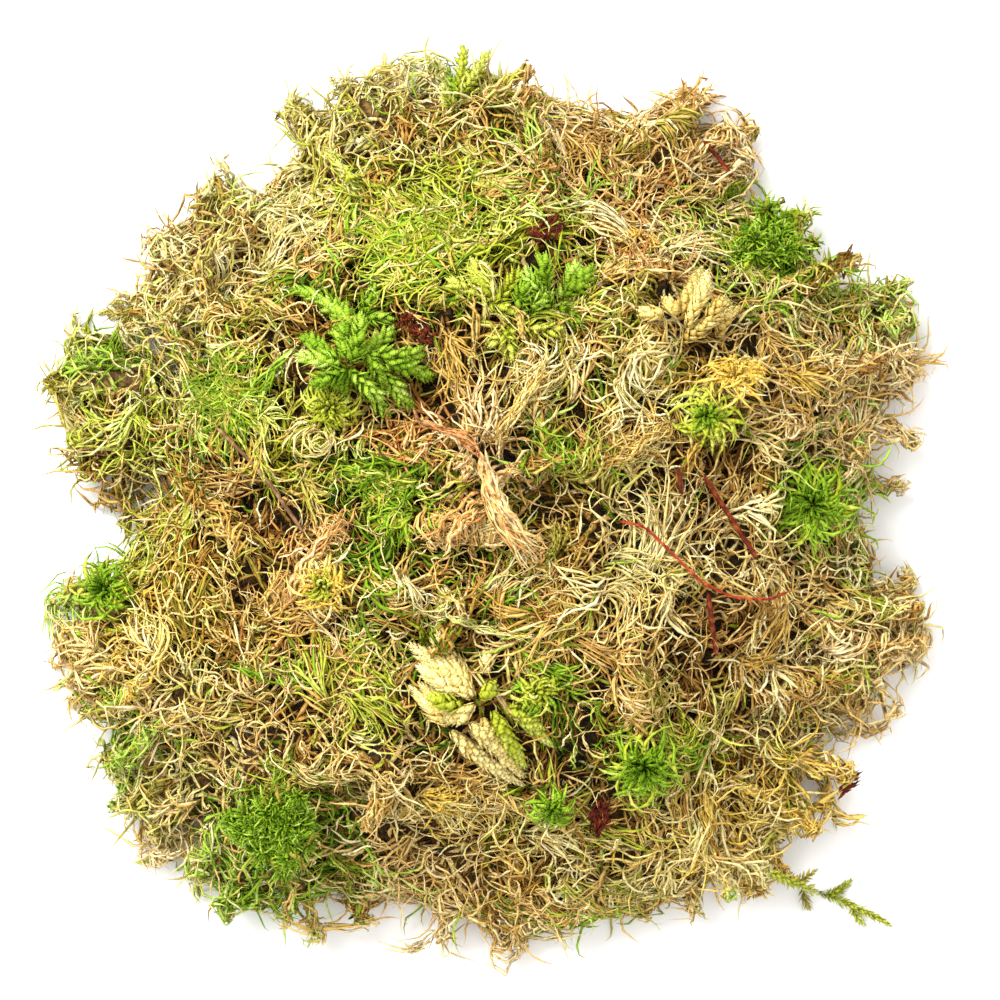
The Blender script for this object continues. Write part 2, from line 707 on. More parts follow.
def box_mm(node):
    """Middle, size and lowest and highest corner of a CAD node in millimetres."""
    low, high = (np.array(corner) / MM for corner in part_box(node))
    return (low + high) / 2, high - low, low, high


def under_heads(points, margin):
    """Which places lie inside a head's outline."""
    inside = np.zeros(len(points), bool)
    for name in HEADS:
        middle, size, low, _ = box_mm(name)
        across = (points[:, :2] - middle[:2]) / (size[:2] / 2)
        inside |= (np.hypot(*across.T) < margin) & (points[:, 2] > low[2] - 5)
    return inside


spray_roots = spray_roots[~under_heads(spray_roots, 0.9)]
print("sprays outside the heads:", len(spray_roots))

# %% [markdown]
# ## Rules for lines of branches
# Every branch goes through three heights over the skin, waves, and may curl at its tip. Neighbours
# share a direction, which turns outwards near the rim. Where a hollow lies, most branches are left out.

# %% Rules for lines of branches
STEM_STEPS = 6
RIM_START = 42
RIM_WIDTH = 22


def from_middle(points):
    """How far each place lies from the middle of the heap, seen from above."""
    return np.hypot(points[:, 0], points[:, 1])


def rim_share(points):
    """0 over the middle of the heap, rising to 1 at its rim."""
    return np.clip((from_middle(points) - RIM_START) / RIM_WIDTH, 0, 1)


def spray_headings(roots):
    """A direction for each spray: its handful's, drawn outwards near the rim."""
    away = np.linalg.norm(roots[:, None] - handful_places[None], axis=-1)
    own = handful_turns[away.argmin(1)] + chance.normal(0, 28, len(roots))
    outwards = np.degrees(np.arctan2(roots[:, 1], roots[:, 0]))
    return level(np.radians(outwards + own * (1 - 0.65 * rim_share(roots))))


def ramp3(low, middle, high, steps):
    """Heights that go through three values along a branch."""
    at = np.linspace(0, 1, steps)
    weights = [np.interp(at, (0, 0.45, 1), row) for row in ((1, 0, 0), (0, 1, 0), (0, 0, 1))]
    return low[:, None] * weights[0] + middle[:, None] * weights[1] + high[:, None] * weights[2]


def curls(count, steps, lean, calm=1.0, owner=None):
    """Turns at each step: a lean, a wave that a spray's branches share, and for some a curled tip."""
    at = np.linspace(0, 1, steps)
    sprays = np.arange(count) if owner is None else owner
    total = sprays.max() + 1
    size = spread(10, 32, (total, 1))[sprays] * spread(0.7, 1.3, (count, 1))
    phase = spread(0, 6.3, (total, 1))[sprays] + chance.normal(0, 0.5, (count, 1))
    wave = size * np.sin(at * spread(5, 9.5, (total, 1))[sprays] + phase)
    bend = chance.normal(0, 11, (total, 1))[sprays] + chance.normal(0, 6, (count, 1))
    hook = (chance.uniform(size=(count, 1)) < 0.4) * chance.choice((-1, 1), (total, 1))[sprays]
    tip = hook * spread(10, 38, (count, 1)) * np.clip(at * 1.8 - 0.5, 0, 1)
    return (bend + wave) * calm + lean[:, None] / steps + tip


def without_hollows(lines, keep_share):
    """Which branches stay: most of those over a hollow are left out."""
    middle = lines[:, lines.shape[1] // 2]
    return chance.uniform(size=len(lines)) > hollow_at(middle) * (1 - keep_share)


print("share of the sprays at the rim:", round(float((rim_share(spray_roots) > 0).mean()), 2))

# %% [markdown]
# ## Sprays
# A spray is a short stem over the skin with branches along both sides. Each branch leaves the stem at
# its own angle and swings back towards the spray's direction. Sprays differ in height, so some lie on
# top and pale, and others sink between them and darken. Those at the rim are paler.

# %% Grow the sprays
BRANCHES_PER_SPRAY = 17
SPRAY_POINTS = 7


def grow_sprays(roots, lift, tone, finish, fan, stem_length, branch_length):
    """Branches of many sprays: their lines, radii, tints and finishes."""
    count = len(roots)
    heading = spray_headings(roots)
    sunk = np.full((count, STEM_STEPS), -1.4) + lift[:, None] * 0.5
    stems = walk(roots, heading, stem_length, sunk, chance.normal(0, 7, (count, STEM_STEPS)))
    owner = np.repeat(np.arange(count), BRANCHES_PER_SPRAY)
    total = len(owner)
    at = spread(0, 0.999, total) ** 0.8 * (STEM_STEPS - 1) * 0.9
    low = at.astype(int)
    start = stems[owner, low] + (stems[owner, low + 1] - stems[owner, low]) * (at - low)[:, None]
    ahead = unit(stems[owner, low + 1] - stems[owner, low])
    _, outward = nearest(start)
    side = chance.choice((-1, 1), total)
    angle = side * fan[owner] * spread(0.15, 1.0, total) + chance.normal(0, 9, total)
    ahead = turned(ahead, outward, angle)
    rise = lift[owner] + chance.normal(0, 0.35, total)
    wide = np.abs(angle) / 60
    heights = ramp3(
        rise - spread(0.5, 1.6, total), rise + 0.5 - wide, rise + spread(-1.1, 0.9, total), SPRAY_POINTS
    )
    length = branch_length[owner] * spread(0.7, 1.2, total)
    lines = walk(start, ahead, length, heights, curls(total, SPRAY_POINTS, -angle * 0.6, 1.0, owner))
    tint = tone[owner] + chance.normal(0, 0.13, total) + 0.1 * rise
    radius = spread(0.21, 0.37, total)
    own = finish_at(start)
    band = np.where(chance.uniform(size=total) < 0.72, finish[owner], own)
    return lines, radius, tint, band


count = len(spray_roots)
patchy = np.array([noise.noise(Vector(root) * 0.09) for root in spray_roots])
lift = np.clip(chance.normal(-0.5, 0.75, count) + patchy * 0.9, -2.2, 0.8) - 2.4 * hollow_at(spray_roots)
tone = 0.52 + lit_at(spray_roots) + 0.5 * patchy + chance.normal(0, 0.1, count) + 0.08 * lift
tone = np.clip(tone + 0.24 * rim_share(spray_roots), 0.15, 0.92)
fan = np.where(chance.uniform(size=count) < 0.7, spread(10, 28, count), spread(30, 55, count))
lines, radius, tint, band = grow_sprays(
    spray_roots, lift, tone, finish_at(spray_roots), fan, spread(7, 14, count), spread(7.5, 12.5, count)
)
stay = without_hollows(lines, 0.12) & ~under_heads(lines[:, 5], 0.72)
SPRAYS = [lines[stay], radius[stay], tint[stay], band[stay]]
print("branches in sprays:", len(SPRAYS[0]))

# %% [markdown]
# ## The layer below and the strays on top
# Between the sprays one looks down on older branches, so a lower layer of short ones covers the core.
# It is browner over the middle, where it lies deep, and paler at the rim. A few long pale strays lie
# across everything, as they do where moss is pulled apart. Both kinds lie any way round.

# %% Lower layer and strays


def lie(roots, length, heights, steps, calm=1.0, tree=None):
    """Branches that lie any way round: lengths and three heights come from between pairs of limits."""
    count = len(roots)
    heading = level(spread(0, 2 * math.pi, count))
    length = spread(*length, count)
    heights = ramp3(*(spread(*pair, count) for pair in heights), steps)
    return walk(roots, heading, length, heights, curls(count, steps, np.zeros(count), calm), tree)


low_roots = scattered(skin, 1.4, 34000, 0.8, lambda normal: normal.z > -0.3)
count = len(low_roots)
lines = lie(low_roots, (4.5, 8), ((-3.8, -2.4), (-2.8, -1.2), (-3.2, -1.5)), 5)
low_rim = rim_share(low_roots)
low_band = partly("brown", 0.3 - 0.25 * low_rim, low_roots)
thick = spread(0.34, 0.5, count)
LOWER = [lines, thick, spread(0.2, 0.75, count) + 0.26 * low_rim + lit_at(low_roots), low_band]

stray_roots = scattered(skin, 3.0, 5000, 1.5, lambda normal: normal.z > -0.1)
stray_roots = stray_roots[~under_heads(stray_roots, 1.0)]
count = len(stray_roots)
lines = lie(stray_roots, (6, 14), ((-1.6, 0.1), (-0.2, 1.0), (-0.6, 1.6)), 9, 0.9)
stray_band = partly("cream", 0.3, stray_roots)
keep = without_hollows(lines, 0.5) & (~under_heads(lines[:, 5], 0.8) | (chance.uniform(size=count) < 0.25))
STRAYS = [lines[keep], spread(0.2, 0.32, count)[keep], spread(0.4, 0.9, count)[keep], stray_band[keep]]
print("lower:", len(LOWER[0]), "strays:", len(STRAYS[0]))

# %% [markdown]
# ## Combed bundles
# In some places a whole handful lies combed one way. Each row is one such bundle as seen from above:
# where it starts and where it points, its width in millimetres, its number of branches, and its finish
# and tint.

# %% Combed bundles
DOWN = Vector((0, 0, -1))
UP = np.array([0.0, 0.0, 1.0])


def dropped(tree, x, y, height=100):
    """Where a plumb line meets a surface from above, or None."""
    return tree.ray_cast(Vector((x, y, height)), DOWN)[0]


def plume(x, y, to_x, to_y, width, count, finish, tint):
    """A combed bundle over the skin from one place towards another."""
    heading = np.array([to_x - x, to_y - y, 0.0])
    length = np.linalg.norm(heading)
    heading = heading / length
    side = np.array([-heading[1], heading[0], 0.0])
    hit = dropped(skin_tree, x, y)
    middle = np.array(hit) if hit is not None else np.array([x, y, 2.0])
    sideways = side * chance.normal(0, width * 0.3, (count, 1))
    start = middle + sideways + heading * spread(-1, length * 0.3, (count, 1))
    fan = chance.normal(0, 11, count)
    ahead = turned(np.tile(heading, (count, 1)), UP, fan)
    heights = ramp3(spread(-0.9, 0.2, count), spread(0.2, 1.5, count), spread(-0.2, 1.9, count), 9)
    turns = curls(count, 9, -0.5 * fan, 0.75, np.zeros(count, int))
    lines = walk(start, ahead, length * spread(0.5, 0.95, count), heights, turns)
    own = partly(finish, 0.8, start)
    return [lines, spread(0.18, 0.32, count), tint + chance.normal(0, 0.12, count), own]


PLUMES = (
    (22.3, -14.2, 42.8, -3.3, 2.6, 40, "cream", 0.7), (17.8, -15.3, 33.5, -10.3, 2.2, 30, "cream", 0.65),
    (19.1, -10.2, 28.7, -7.0, 2.2, 16, "cream", 0.75), (61.9, -7.6, 66.8, -15.9, 1.9, 16, "straw", 0.6),
    (46.6, -13.2, 53.6, -24.9, 2.2, 24, "straw", 0.55), (39.7, -25.7, 49.1, -31.9, 2.6, 24, "straw", 0.5),
    (47.4, -33.7, 61.3, -35.4, 2.6, 20, "straw", 0.55), (14.8, -22.2, 32.0, -24.2, 2.9, 30, "tan", 0.55),
    (24.2, -27.1, 38.3, -35.4, 3.2, 26, "olive", 0.55), (27.6, -36.1, 38.3, -45.0, 3.2, 30, "lime", 0.5),
    (40.4, 11.4, 50.4, 4.2, 1.6, 14, "cream", 0.6), (-43.0, 40.1, -29.1, 27.6, 1.3, 9, "cream", 0.8),
    (-36.1, 15.8, -29.9, 7.4, 1.9, 20, "lime", 0.8), (-36.1, 9.5, -29.1, 3.3, 2.2, 20, "gold", 0.7),
    (-26.4, 13.0, -18.1, 3.3, 2.9, 26, "cream", 0.6), (-59.0, -1.5, -52.1, -7.1, 1.9, 16, "olive", 0.5),
    (-43.0, -0.9, -39.7, -9.8, 2.9, 20, "straw", 0.5), (-56.9, 13.0, -48.0, 13.0, 1.9, 14, "lime", 0.6),
    (-34.1, 18.6, -27.0, 26.2, 0.6, 4, "cream", 0.85), (-36.9, -17.0, -23.0, -27.4, 2.9, 28, "straw", 0.6),
    (-39.7, -26.8, -30.7, -32.4, 1.6, 10, "green", 0.5), (-23.0, -31.6, -9.1, -33.0, 2.6, 26, "lime", 0.55),
    (-29.9, -42.5, -16.1, -47.0, 1.9, 20, "cream", 0.6), (-22.1, -35.8, -16.8, -45.8, 1.0, 8, "lime", 0.8),
    (-57.7, -31.6, -47.3, -36.6, 1.3, 14, "gold", 0.8), (-52.6, -18.8, -41.1, -26.8, 2.2, 18, "gold", 0.8),
    (26.4, 58.5, 41.1, 60.1, 2.6, 24, "olive", 0.5), (21.0, 55.3, 31.4, 53.8, 2.2, 20, "olive", 0.45),
    (9.8, 60.1, 24.4, 47.6, 2.6, 28, "straw", 0.6), (21.6, 43.4, 27.9, 36.6, 2.9, 26, "gold", 0.55),
    (40.0, 38.6, 45.9, 26.5, 2.2, 22, "olive", 0.6), (44.5, 28.2, 48.7, 17.8, 1.6, 16, "straw", 0.65),
    (17.5, 35.1, 25.2, 31.0, 1.9, 18, "straw", 0.6), (21.6, 22.0, 34.1, 22.6, 1.6, 20, "cream", 0.6),
    (-1.2, 49.0, 3.5, 42.2, 2.2, 20, "straw", 0.6), (-14.5, -10.2, -6.5, -16.6, 1.9, 16, "cream", 0.8),
    (-0.1, -15.0, 12.7, -16.6, 1.9, 20, "cream", 0.65), (-5.7, 26.6, -1.7, 15.4, 2.2, 20, "straw", 0.55),
    (5.5, -51.0, 19.1, -58.2, 2.6, 26, "cream", 0.6), (35.1, -47.0, 45.5, -54.2, 3.5, 32, "gold", 0.6),
    (-9.7, -47.0, -1.7, -53.4, 2.9, 28, "gold", 0.6), (-24.1, -56.6, -16.1, -64.6, 2.6, 20, "olive", 0.4),
    (12.7, -61.4, 25.5, -66.2, 2.9, 24, "olive", 0.5), (-16.1, -65.4, -24.1, -70.2, 2.2, 16, "straw", 0.5),
    (33.5, -10.2, 25.5, -19.8, 1.9, 16, "olive", 0.6), (12.7, 4.2, 19.1, -3.8, 2.2, 18, "olive", 0.6),
    (3.1, 31.4, -1.7, 39.4, 1.6, 12, "lime", 0.7), (-19.3, 60.2, -22.5, 65.0, 1.3, 10, "lime", 0.6),
    (-28.9, 4.2, -19.3, -3.8, 2.2, 20, "olive", 0.55), (-9.7, -1.4, -1.7, -7.8, 1.6, 10, "straw", 0.6),
    (9.5, -10.2, 15.9, -3.8, 1.9, 16, "olive", 0.6), (35.1, 9.0, 28.7, 1.0, 1.9, 16, "straw", 0.5),
    (-40.1, 26.6, -30.5, 31.4, 2.2, 18, "olive", 0.5), (-51.3, -10.2, -59.3, -15.0, 2.2, 16, "lime", 0.55),
)
plumes = [plume(*row) for row in PLUMES]
COMBED = [np.concatenate([part[index] for part in plumes]) for index in range(4)]
print("combed:", len(COMBED[0]))

# %% [markdown]
# ## Hairs and curls
# Very fine pale hairs lie loosely on top. Shorter branches with curled tips stand up a little, more of
# them towards the rim, and break up the even lie of the sprays.

# %% Hairs and curls
hair_roots = scattered(skin, 2.5, 9000, 1.5, lambda normal: normal.z > -0.2)
count = len(hair_roots)
lines = lie(hair_roots, (4, 10), ((-1.0, 0.3), (0.0, 1.3), (-0.3, 1.9)), 7, 1.2)
hair_band = partly("straw", 0.4, hair_roots)
HAIRS = [lines, spread(0.13, 0.2, count), spread(0.45, 0.95, count), hair_band]

curl_roots = scattered(skin, 3.0, 9000, 0.8, lambda normal: normal.z > -0.1)
odds = np.clip((from_middle(curl_roots) - 8) / 34, 0.12, 1)
curl_roots = curl_roots[(chance.uniform(size=len(odds)) < odds) & ~under_heads(curl_roots, 1.0)]
count = len(curl_roots)
lines = lie(curl_roots, (3.5, 6.5), ((-0.6, 0.6), (0.6, 1.7), (0.6, 2.4)), 9, 1.7)
CURLED = [lines, spread(0.17, 0.28, count), spread(0.6, 0.97, count), finish_at(curl_roots)]
print("hairs:", len(HAIRS[0]), "curled:", len(CURLED[0]))

# %% [markdown]
# ## Wisps at the rim and branches underneath
# At the rim single branches leave the heap, climb or fall a little and end in the air. Those that would
# pass the box of the solids by too much are dropped. The underside gets a layer of its own.

# %% Wisps and underside
WISP_START = 44
PAST_BOX = 2.5


def free_lines(start, heading, length, turns, climb):
    """Lines that leave the heap, climb or fall, turn, and end above the table."""
    count, steps = turns.shape
    lines = np.empty((count, steps, 3))
    here = start.copy()
    stride = (length / (steps - 1))[:, None]
    for k in range(steps):
        lines[:, k] = here
        heading = turned(heading, UP, turns[:, k])
        here = here + heading * stride
        here[:, 2] += (climb - 0.09 * k) * stride[:, 0]
    return above_table(lines)


rim_roots = scattered(skin, 1.9, 8000, 0.6, lambda normal: -0.5 < normal.z < 0.62)
rim_roots = rim_roots[from_middle(rim_roots) > WISP_START]
count = len(rim_roots)
_, outward = nearest(rim_roots)
angle = np.arctan2(outward[:, 1], outward[:, 0]) + np.radians(chance.normal(0, 42, count))
lines = free_lines(
    rim_roots - outward * 1.5, level(angle), spread(4.5, 11, count), curls(count, 7, np.zeros(count)),
    chance.normal(0.15, 0.25, count),
)
corners = np.array([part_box(node)[side] for node in BED_NODES for side in (0, 1)])
keep = (np.abs(lines[:, :, :2]) < np.abs(corners).max(0)[:2] / MM + PAST_BOX).all((1, 2))
thin = spread(0.16, 0.32, count)
WISPS = [lines[keep], thin[keep], spread(0.5, 0.95, count)[keep], finish_at(rim_roots)[keep]]

skin_bottom = surface_tree(skin, lambda face: face.normal.z < -0.8)
base_roots = scattered(skin, 2.6, 6000, -1.0, lambda normal: normal.z < -0.8)
count = len(base_roots)
lines = lie(base_roots, (5, 9), ((-1.6, -0.5), (-1.3, -0.4), (-1.6, -0.5)), 5, 1.0, skin_bottom)
BASE = [lines, spread(0.3, 0.42, count), spread(0.25, 0.7, count), finish_at(base_roots)]
print("wisps:", len(WISPS[0]), "underside:", len(BASE[0]))

# %% [markdown]
# ## From lines to pieces
# Each line belongs to the solid that its root lies nearest to, so every tuft gets its own piece. The
# bed has the most, and it is parted by finish, and its straw again by quarter, to keep each mesh light.

# %% Make the pieces of the bed and the tufts
QUARTERS = ("back_right", "back_left", "front_left", "front_right")
MADE = []


def bed_faces():
    """A search tree over all bed nodes, and the node of each of its faces."""
    verts = []
    faces = []
    node_of = []
    for index, name in enumerate(BED_NODES):
        mesh = frame["nodes"][name].data
        base = len(verts)
        verts.extend(vert.co / MM for vert in mesh.vertices)
        faces.extend([base + v for v in face.vertices] for face in mesh.polygons)
        node_of.extend([index] * len(mesh.polygons))
    return BVHTree.FromPolygons(verts, faces), node_of


def placed(item, nodes):
    """Puts a piece in the place of CAD nodes, and notes its size."""
    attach(item, "root")
    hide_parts(*nodes)
    MADE.append((item.name, sum(len(face.vertices) - 2 for face in item.data.polygons)))
    return item


def finished(name, groups, nodes):
    """Joins copies into a piece that stands for CAD nodes."""
    return placed(joined(name, groups), nodes)


def stand_in(node, kind, groups):
    """A piece of copies that stands for one node and is named for it."""
    return finished(node + "_" + kind, groups, [node])


bed_tree, node_of = bed_faces()
batches = [SPRAYS, LOWER, STRAYS, COMBED, HAIRS, CURLED, WISPS, BASE]
owners = [np.array([node_of[bed_tree.find_nearest(root)[2]] for root in batch[0][:, 0]]) for batch in batches]


def copies_where(test):
    """Bent copies of each batch's lines that pass a test on their owner, finish and root."""
    groups = []
    for batch, owner in zip(batches, owners):
        chosen = test(owner, batch[3], batch[0][:, 0])
        if chosen.any():
            groups.append(bent_copies(*[part[chosen] for part in batch]))
    return groups


def quarter(root):
    """The quarter of the heap that a place lies in, from 0 to 3."""
    return (np.degrees(np.arctan2(root[:, 1], root[:, 0])) % 360) // 90


for index, node in enumerate(BED_NODES):
    if node != "moss_bed":
        groups = copies_where(lambda owner, band, root: owner == index)
        stand_in(node, "branches", groups)
bed = BED_NODES.index("moss_bed")
for band_index, name in enumerate(BANDS):
    if name != "straw":
        groups = copies_where(lambda owner, band, root: (owner == bed) & (band == band_index))
        finished(name + "_branches", groups, ["moss_bed"])
straw = BANDS.index("straw")
for index, side in enumerate(QUARTERS):
    groups = copies_where(
        lambda owner, band, root: (owner == bed) & (band == straw) & (quarter(root) == index)
    )
    finished("straw_branches_" + side, groups, ["moss_bed"])
for name, count in MADE:
    print(f"{name}: {count} triangles")

# %% [markdown]
# ## The matted core
# Without something inside, light would fall through the branches to the table. A shrunken copy of the
# skin stands for the matted, half rotted middle, and shows only at the bottom of gaps. It is dark brown
# over the middle and pale brown towards the rim, where the heap is thin and light gets in.

# %% The core
CORE_DEPTH = 4.8
CORE_VOXEL = 2.4
CORE_RIM = 48
CORE_RIM_WIDTH = 16
WET_BROWNS = [(0.32, paint(26, 15, 3)), (0.5, paint(58, 38, 10)), (0.66, paint(104, 74, 26))]
DRY_BROWNS = [(0.32, paint(70, 48, 18)), (0.5, paint(122, 90, 42)), (0.66, paint(176, 140, 78))]


def core_finish():
    """Brown, blotched like litter, and paler towards the rim."""
    material, surface, start = new_finish("matted_core")
    place = start.add("ShaderNodeTexCoord").other(3)
    blotches = {"Vector": place, "Scale": 420.0, "Detail": 6.0, "Distortion": 2.2}
    coarse = start.add("ShaderNodeTexNoise", None, blotches)
    split = start.add("ShaderNodeSeparateXYZ", None, {0: place})
    x = split * (1 / MM)
    y = split.other(1) * (1 / MM)
    outwards = (start.math("SQRT", x * x + y * y) - CORE_RIM) * (1 / CORE_RIM_WIDTH)
    share = start.math("MINIMUM", start.math("MAXIMUM", outwards, 0.0), 1.0)
    wet = start.add("ShaderNodeValToRGB", {"stops": WET_BROWNS}, {0: coarse})
    dry = start.add("ShaderNodeValToRGB", {"stops": DRY_BROWNS}, {0: coarse})
    start.mix(share, wet, dry).to(surface, "Base Color")
    coarse.emboss(surface, 1.0, 0.0015)
    (coarse * 0.2 + 0.75).to(surface, "Roughness")
    return material


def shrunk(item, depth, share=0.42):
    """Draws a closed shape inwards, less where it is thin, so that it never turns inside out."""
    tree = surface_tree(item)
    places = [vert.co / MM for vert in item.data.vertices]
    normals = [vert.normal.copy() for vert in item.data.vertices]
    for vert, place, normal in zip(item.data.vertices, places, normals):
        _, _, _, through = tree.ray_cast(place - normal * 0.05, -normal)
        vert.co = (place - normal * min(depth, share * (through or depth))) * MM
    item.data.update()


core = skin
core.name = "matted_core"
shrunk(core, CORE_DEPTH)
shaped_by(core, "REMESH", mode="VOXEL", voxel_size=CORE_VOXEL * MM)
core.data.materials.clear()
core.data.materials.append(core_finish())
placed(core, ["moss_bed"])
print("core faces:", len(core.data.polygons))

# %% [markdown]
# ## Rosettes
# The living top of a moss stem is a star: short new branches in the middle and longer ones round it,
# arching out and down. The arms are laid by the golden angle, so no two lie on top of each other.
# Dry gold stars have thinner arms that have swung further round.

# %% Rosettes
GOLDEN = math.pi * (3 - math.sqrt(5))
ARM_POINTS = 7


def blunt_width(along):
    """A young branch is as wide as it gets nearly to its rounded tip."""
    return min(1.0, 0.6 + 1.6 * along, 0.3 + 2.4 * (1 - along))


def arching(base, up, back, out, top, turn):
    """Lines that leave a base, reaching out and up as they turn about its upward direction."""
    first = unit(np.cross(back, up))
    second = np.cross(up, first)
    lines = base + first * (out * np.cos(turn))[..., None] + second * (out * np.sin(turn))[..., None]
    return above_table(lines + up * top[..., None])


def star(node, reach, rise, arms, finish, inner, outer):
    """Arms that arch out of the middle of a head."""
    radius, swirl = (0.3, 62) if finish == "gold" else (0.36, 44)
    middle = box_mm(node)[0]
    _, outward = nearest(middle[None])
    up = unit(outward[0] * 0.75 + np.array([0, 0, 0.45]))
    order = np.arange(arms)
    share = np.sqrt((order + 0.5) / arms)
    angle = order * GOLDEN + chance.normal(0, 0.12, arms)
    at = np.linspace(0, 1, ARM_POINTS)[None]
    length = reach * (0.07 + 0.93 * share) * spread(0.75, 1.15, arms)
    out = length[:, None] * (0.1 + 0.9 * at ** 1.1)
    top = rise * (1 - share ** 1.6)[:, None] * at + 0.4 * length[:, None] * (4 * at * (1 - at)) * 0.5
    top = top - (0.28 * share ** 2)[:, None] * reach * at ** 3 + chance.normal(0, 0.25, (arms, 1)) * at
    turn = angle[:, None] + np.radians(swirl) * chance.normal(0, 1, (arms, 1)) * at ** 2
    lines = arching(middle - up * rise * 0.45, up, (0, 1, 0), out, top, turn)
    tint = 0.55 - 0.2 * share + 0.3 * share ** 2 + chance.normal(0, 0.1, arms)
    band = np.where(share < 0.45, BANDS.index(inner), BANDS.index(finish))
    old = (share > 0.7) & (chance.uniform(size=arms) < 0.35)
    band = np.where(old, BANDS.index(outer), band)
    return bent_copies(lines, radius * spread(0.8, 1.15, arms), tint, band, 1.0, BLUNT)


BLUNT = model_branch(5, 3, 0.1, blunt_width)
ROSETTES = (
    ("rosette_green_right", 8.6, 3.6, 130, "green", "deep", "lime", "green_moss"),
    ("rosette_green_low", 8.2, 3.8, 116, "green", "deep", "lime", "green_moss"),
    ("rosette_green_small", 4.8, 2.6, 52, "green", "deep", "green", "green_moss"),
    ("rosette_green_left", 6.6, 3.4, 90, "green", "deep", "lime", "green_moss"),
    ("rosette_lime_left", 6.4, 3.0, 76, "lime", "lime", "olive", "lime_moss"),
    ("rosette_lime_right", 6.8, 3.0, 84, "lime", "green", "lime", "lime_moss"),
    ("rosette_lime_low", 5.2, 2.8, 56, "lime", "lime", "green", "lime_moss"),
    ("rosette_yellow_right", 7.2, 3.0, 100, "gold", "gold", "cream", "gold_moss"),
    ("rosette_yellow_left", 6.4, 3.0, 84, "gold", "lime", "cream", "gold_moss"),
)
for node, *settings, slot in ROSETTES:
    stand_in(node, "arms", [star(node, *settings)])
print("rosettes:", len(ROSETTES))

# %% [markdown]
# ## Cushions and grassy patches
# Some of the green stands in soft cushions of fine upright shoots, and some lies as loose grassy
# strands. A cushion is many small stars close together, with grass between them and short strands that
# fill its body below. A grassy patch is strands that lean one way over its solid.

# %% Cushions and grassy patches
ABOVE = 5


def random_drop(tree, low, high):
    """A random place on top of a solid: its x and y, and the point met."""
    while True:
        x, y = (chance.uniform(low[axis], high[axis]) for axis in (0, 1))
        hit = dropped(tree, x, y, high[2] + ABOVE)
        if hit is not None:
            return x, y, hit


def small_star(base, normal, reach):
    """One small star on a cushion."""
    arms = int(chance.integers(20, 32))
    up = unit(np.array(normal) * 0.8 + np.array([0, 0, 0.35]) + chance.normal(0, 0.25, 3))
    own = reach * chance.uniform(0.7, 1.25)
    at = np.linspace(0, 1, 6)[None]
    part = np.sqrt((np.arange(arms) + 0.5) / arms)
    out = own * part[:, None] * at * spread(0.8, 1.2, (arms, 1))
    top = own * (0.95 - 0.6 * part[:, None] ** 1.5) * at + 0.18 * own * np.sin(math.pi * at)
    turn = (np.arange(arms) * GOLDEN)[:, None] + chance.normal(0, 0.35, (arms, 1)) * at ** 2
    lines = arching(np.array(base) - up * own * 0.6, up, (0, 1, 0.2), out, top, turn)
    tint = 0.38 + 0.4 * part + chance.normal(0, 0.12, arms)
    band = np.where(chance.uniform(size=arms) < 0.45, BANDS.index("deep"), BANDS.index("green"))
    return bent_copies(lines, 0.3 * spread(0.8, 1.15, arms), tint, band)


def cushion(node, stars, reach):
    """Small stars over the top of a solid, placed by the golden angle."""
    tree = surface_tree(frame["nodes"][node])
    middle, size, _, high = box_mm(node)
    groups = []
    for order in range(stars * 6):
        share = math.sqrt((order % stars + 0.5) / stars)
        x = middle[0] + share * size[0] / 2 * math.cos(order * GOLDEN) * 0.95
        y = middle[1] + share * size[1] / 2 * math.sin(order * GOLDEN) * 0.95
        hit, normal, _, _ = tree.ray_cast(Vector((x, y, high[2] + ABOVE)), DOWN)
        if hit is not None and len(groups) < stars:
            groups.append(small_star(hit, normal, reach))
    return groups


def grass(node, blades, length, finishes, shares, lean, scatter=42):
    """Loose strands over the top of a solid, leaning one way."""
    tree = surface_tree(frame["nodes"][node])
    _, _, low, high = box_mm(node)
    roots = np.array([random_drop(tree, low, high)[2] for _ in range(blades)])
    heading = level(np.radians(lean + chance.normal(0, scatter, blades)))
    start = roots - heading * length * 0.4
    heights = ramp3(spread(-1.5, -0.2, blades), spread(0.0, 1.0, blades), spread(0.2, 1.8, blades), 7)
    length = length * spread(0.7, 1.2, blades)
    lines = walk(start, heading, length, heights, curls(blades, 7, np.zeros(blades)))
    band = one_of(finishes, blades, shares)
    return [bent_copies(lines, 0.32 * spread(0.8, 1.15, blades), spread(0.25, 0.8, blades), band)]


def filling(node, gap, finishes, shares):
    """Short strands that fill the body of a solid."""
    item = frame["nodes"][node]
    roots = scattered(item, gap, 4000, 0.8, lambda normal: normal.z > -0.5)
    count = len(roots)
    lines = lie(roots, (4, 7), ((-2.4, -1.0), (-1.6, -0.2), (-1.8, 0.3)), 5, 1.0, surface_tree(item))
    band = one_of(finishes, count, shares)
    return [bent_copies(lines, spread(0.34, 0.5, count), spread(0.2, 0.6, count), band)]


CUSHIONS = (
    ("cushion_green", (36, 3.3), (110, 6.5, ("green", "olive", "straw"), (0.5, 0.3, 0.2), -60, 90),
     (1.4, ("green", "deep", "olive"), (0.4, 0.3, 0.3))),
    ("green_cap_right", (15, 3.4),
     (230, 7.5, ("green", "lime", "olive", "straw"), (0.33, 0.27, 0.25, 0.15), -60, 60),
     (1.5, ("green", "lime", "olive"), (0.4, 0.2, 0.4))),
)
PATCHES_OF_GRASS = (
    ("grass_green_left", "green_moss", (210, 9, ("green", "lime", "olive"), (0.55, 0.3, 0.15), -60)),
    ("grass_green_middle", "green_moss", (150, 7, ("green", "lime", "olive"), (0.5, 0.35, 0.15), -130)),
    ("lime_spread_top", "lime_moss", (230, 13, ("lime", "green", "cream"), (0.58, 0.32, 0.1), 150, 20),
     (110, 9, ("lime", "straw", "cream"), (0.6, 0.25, 0.15), -125, 35)),
)
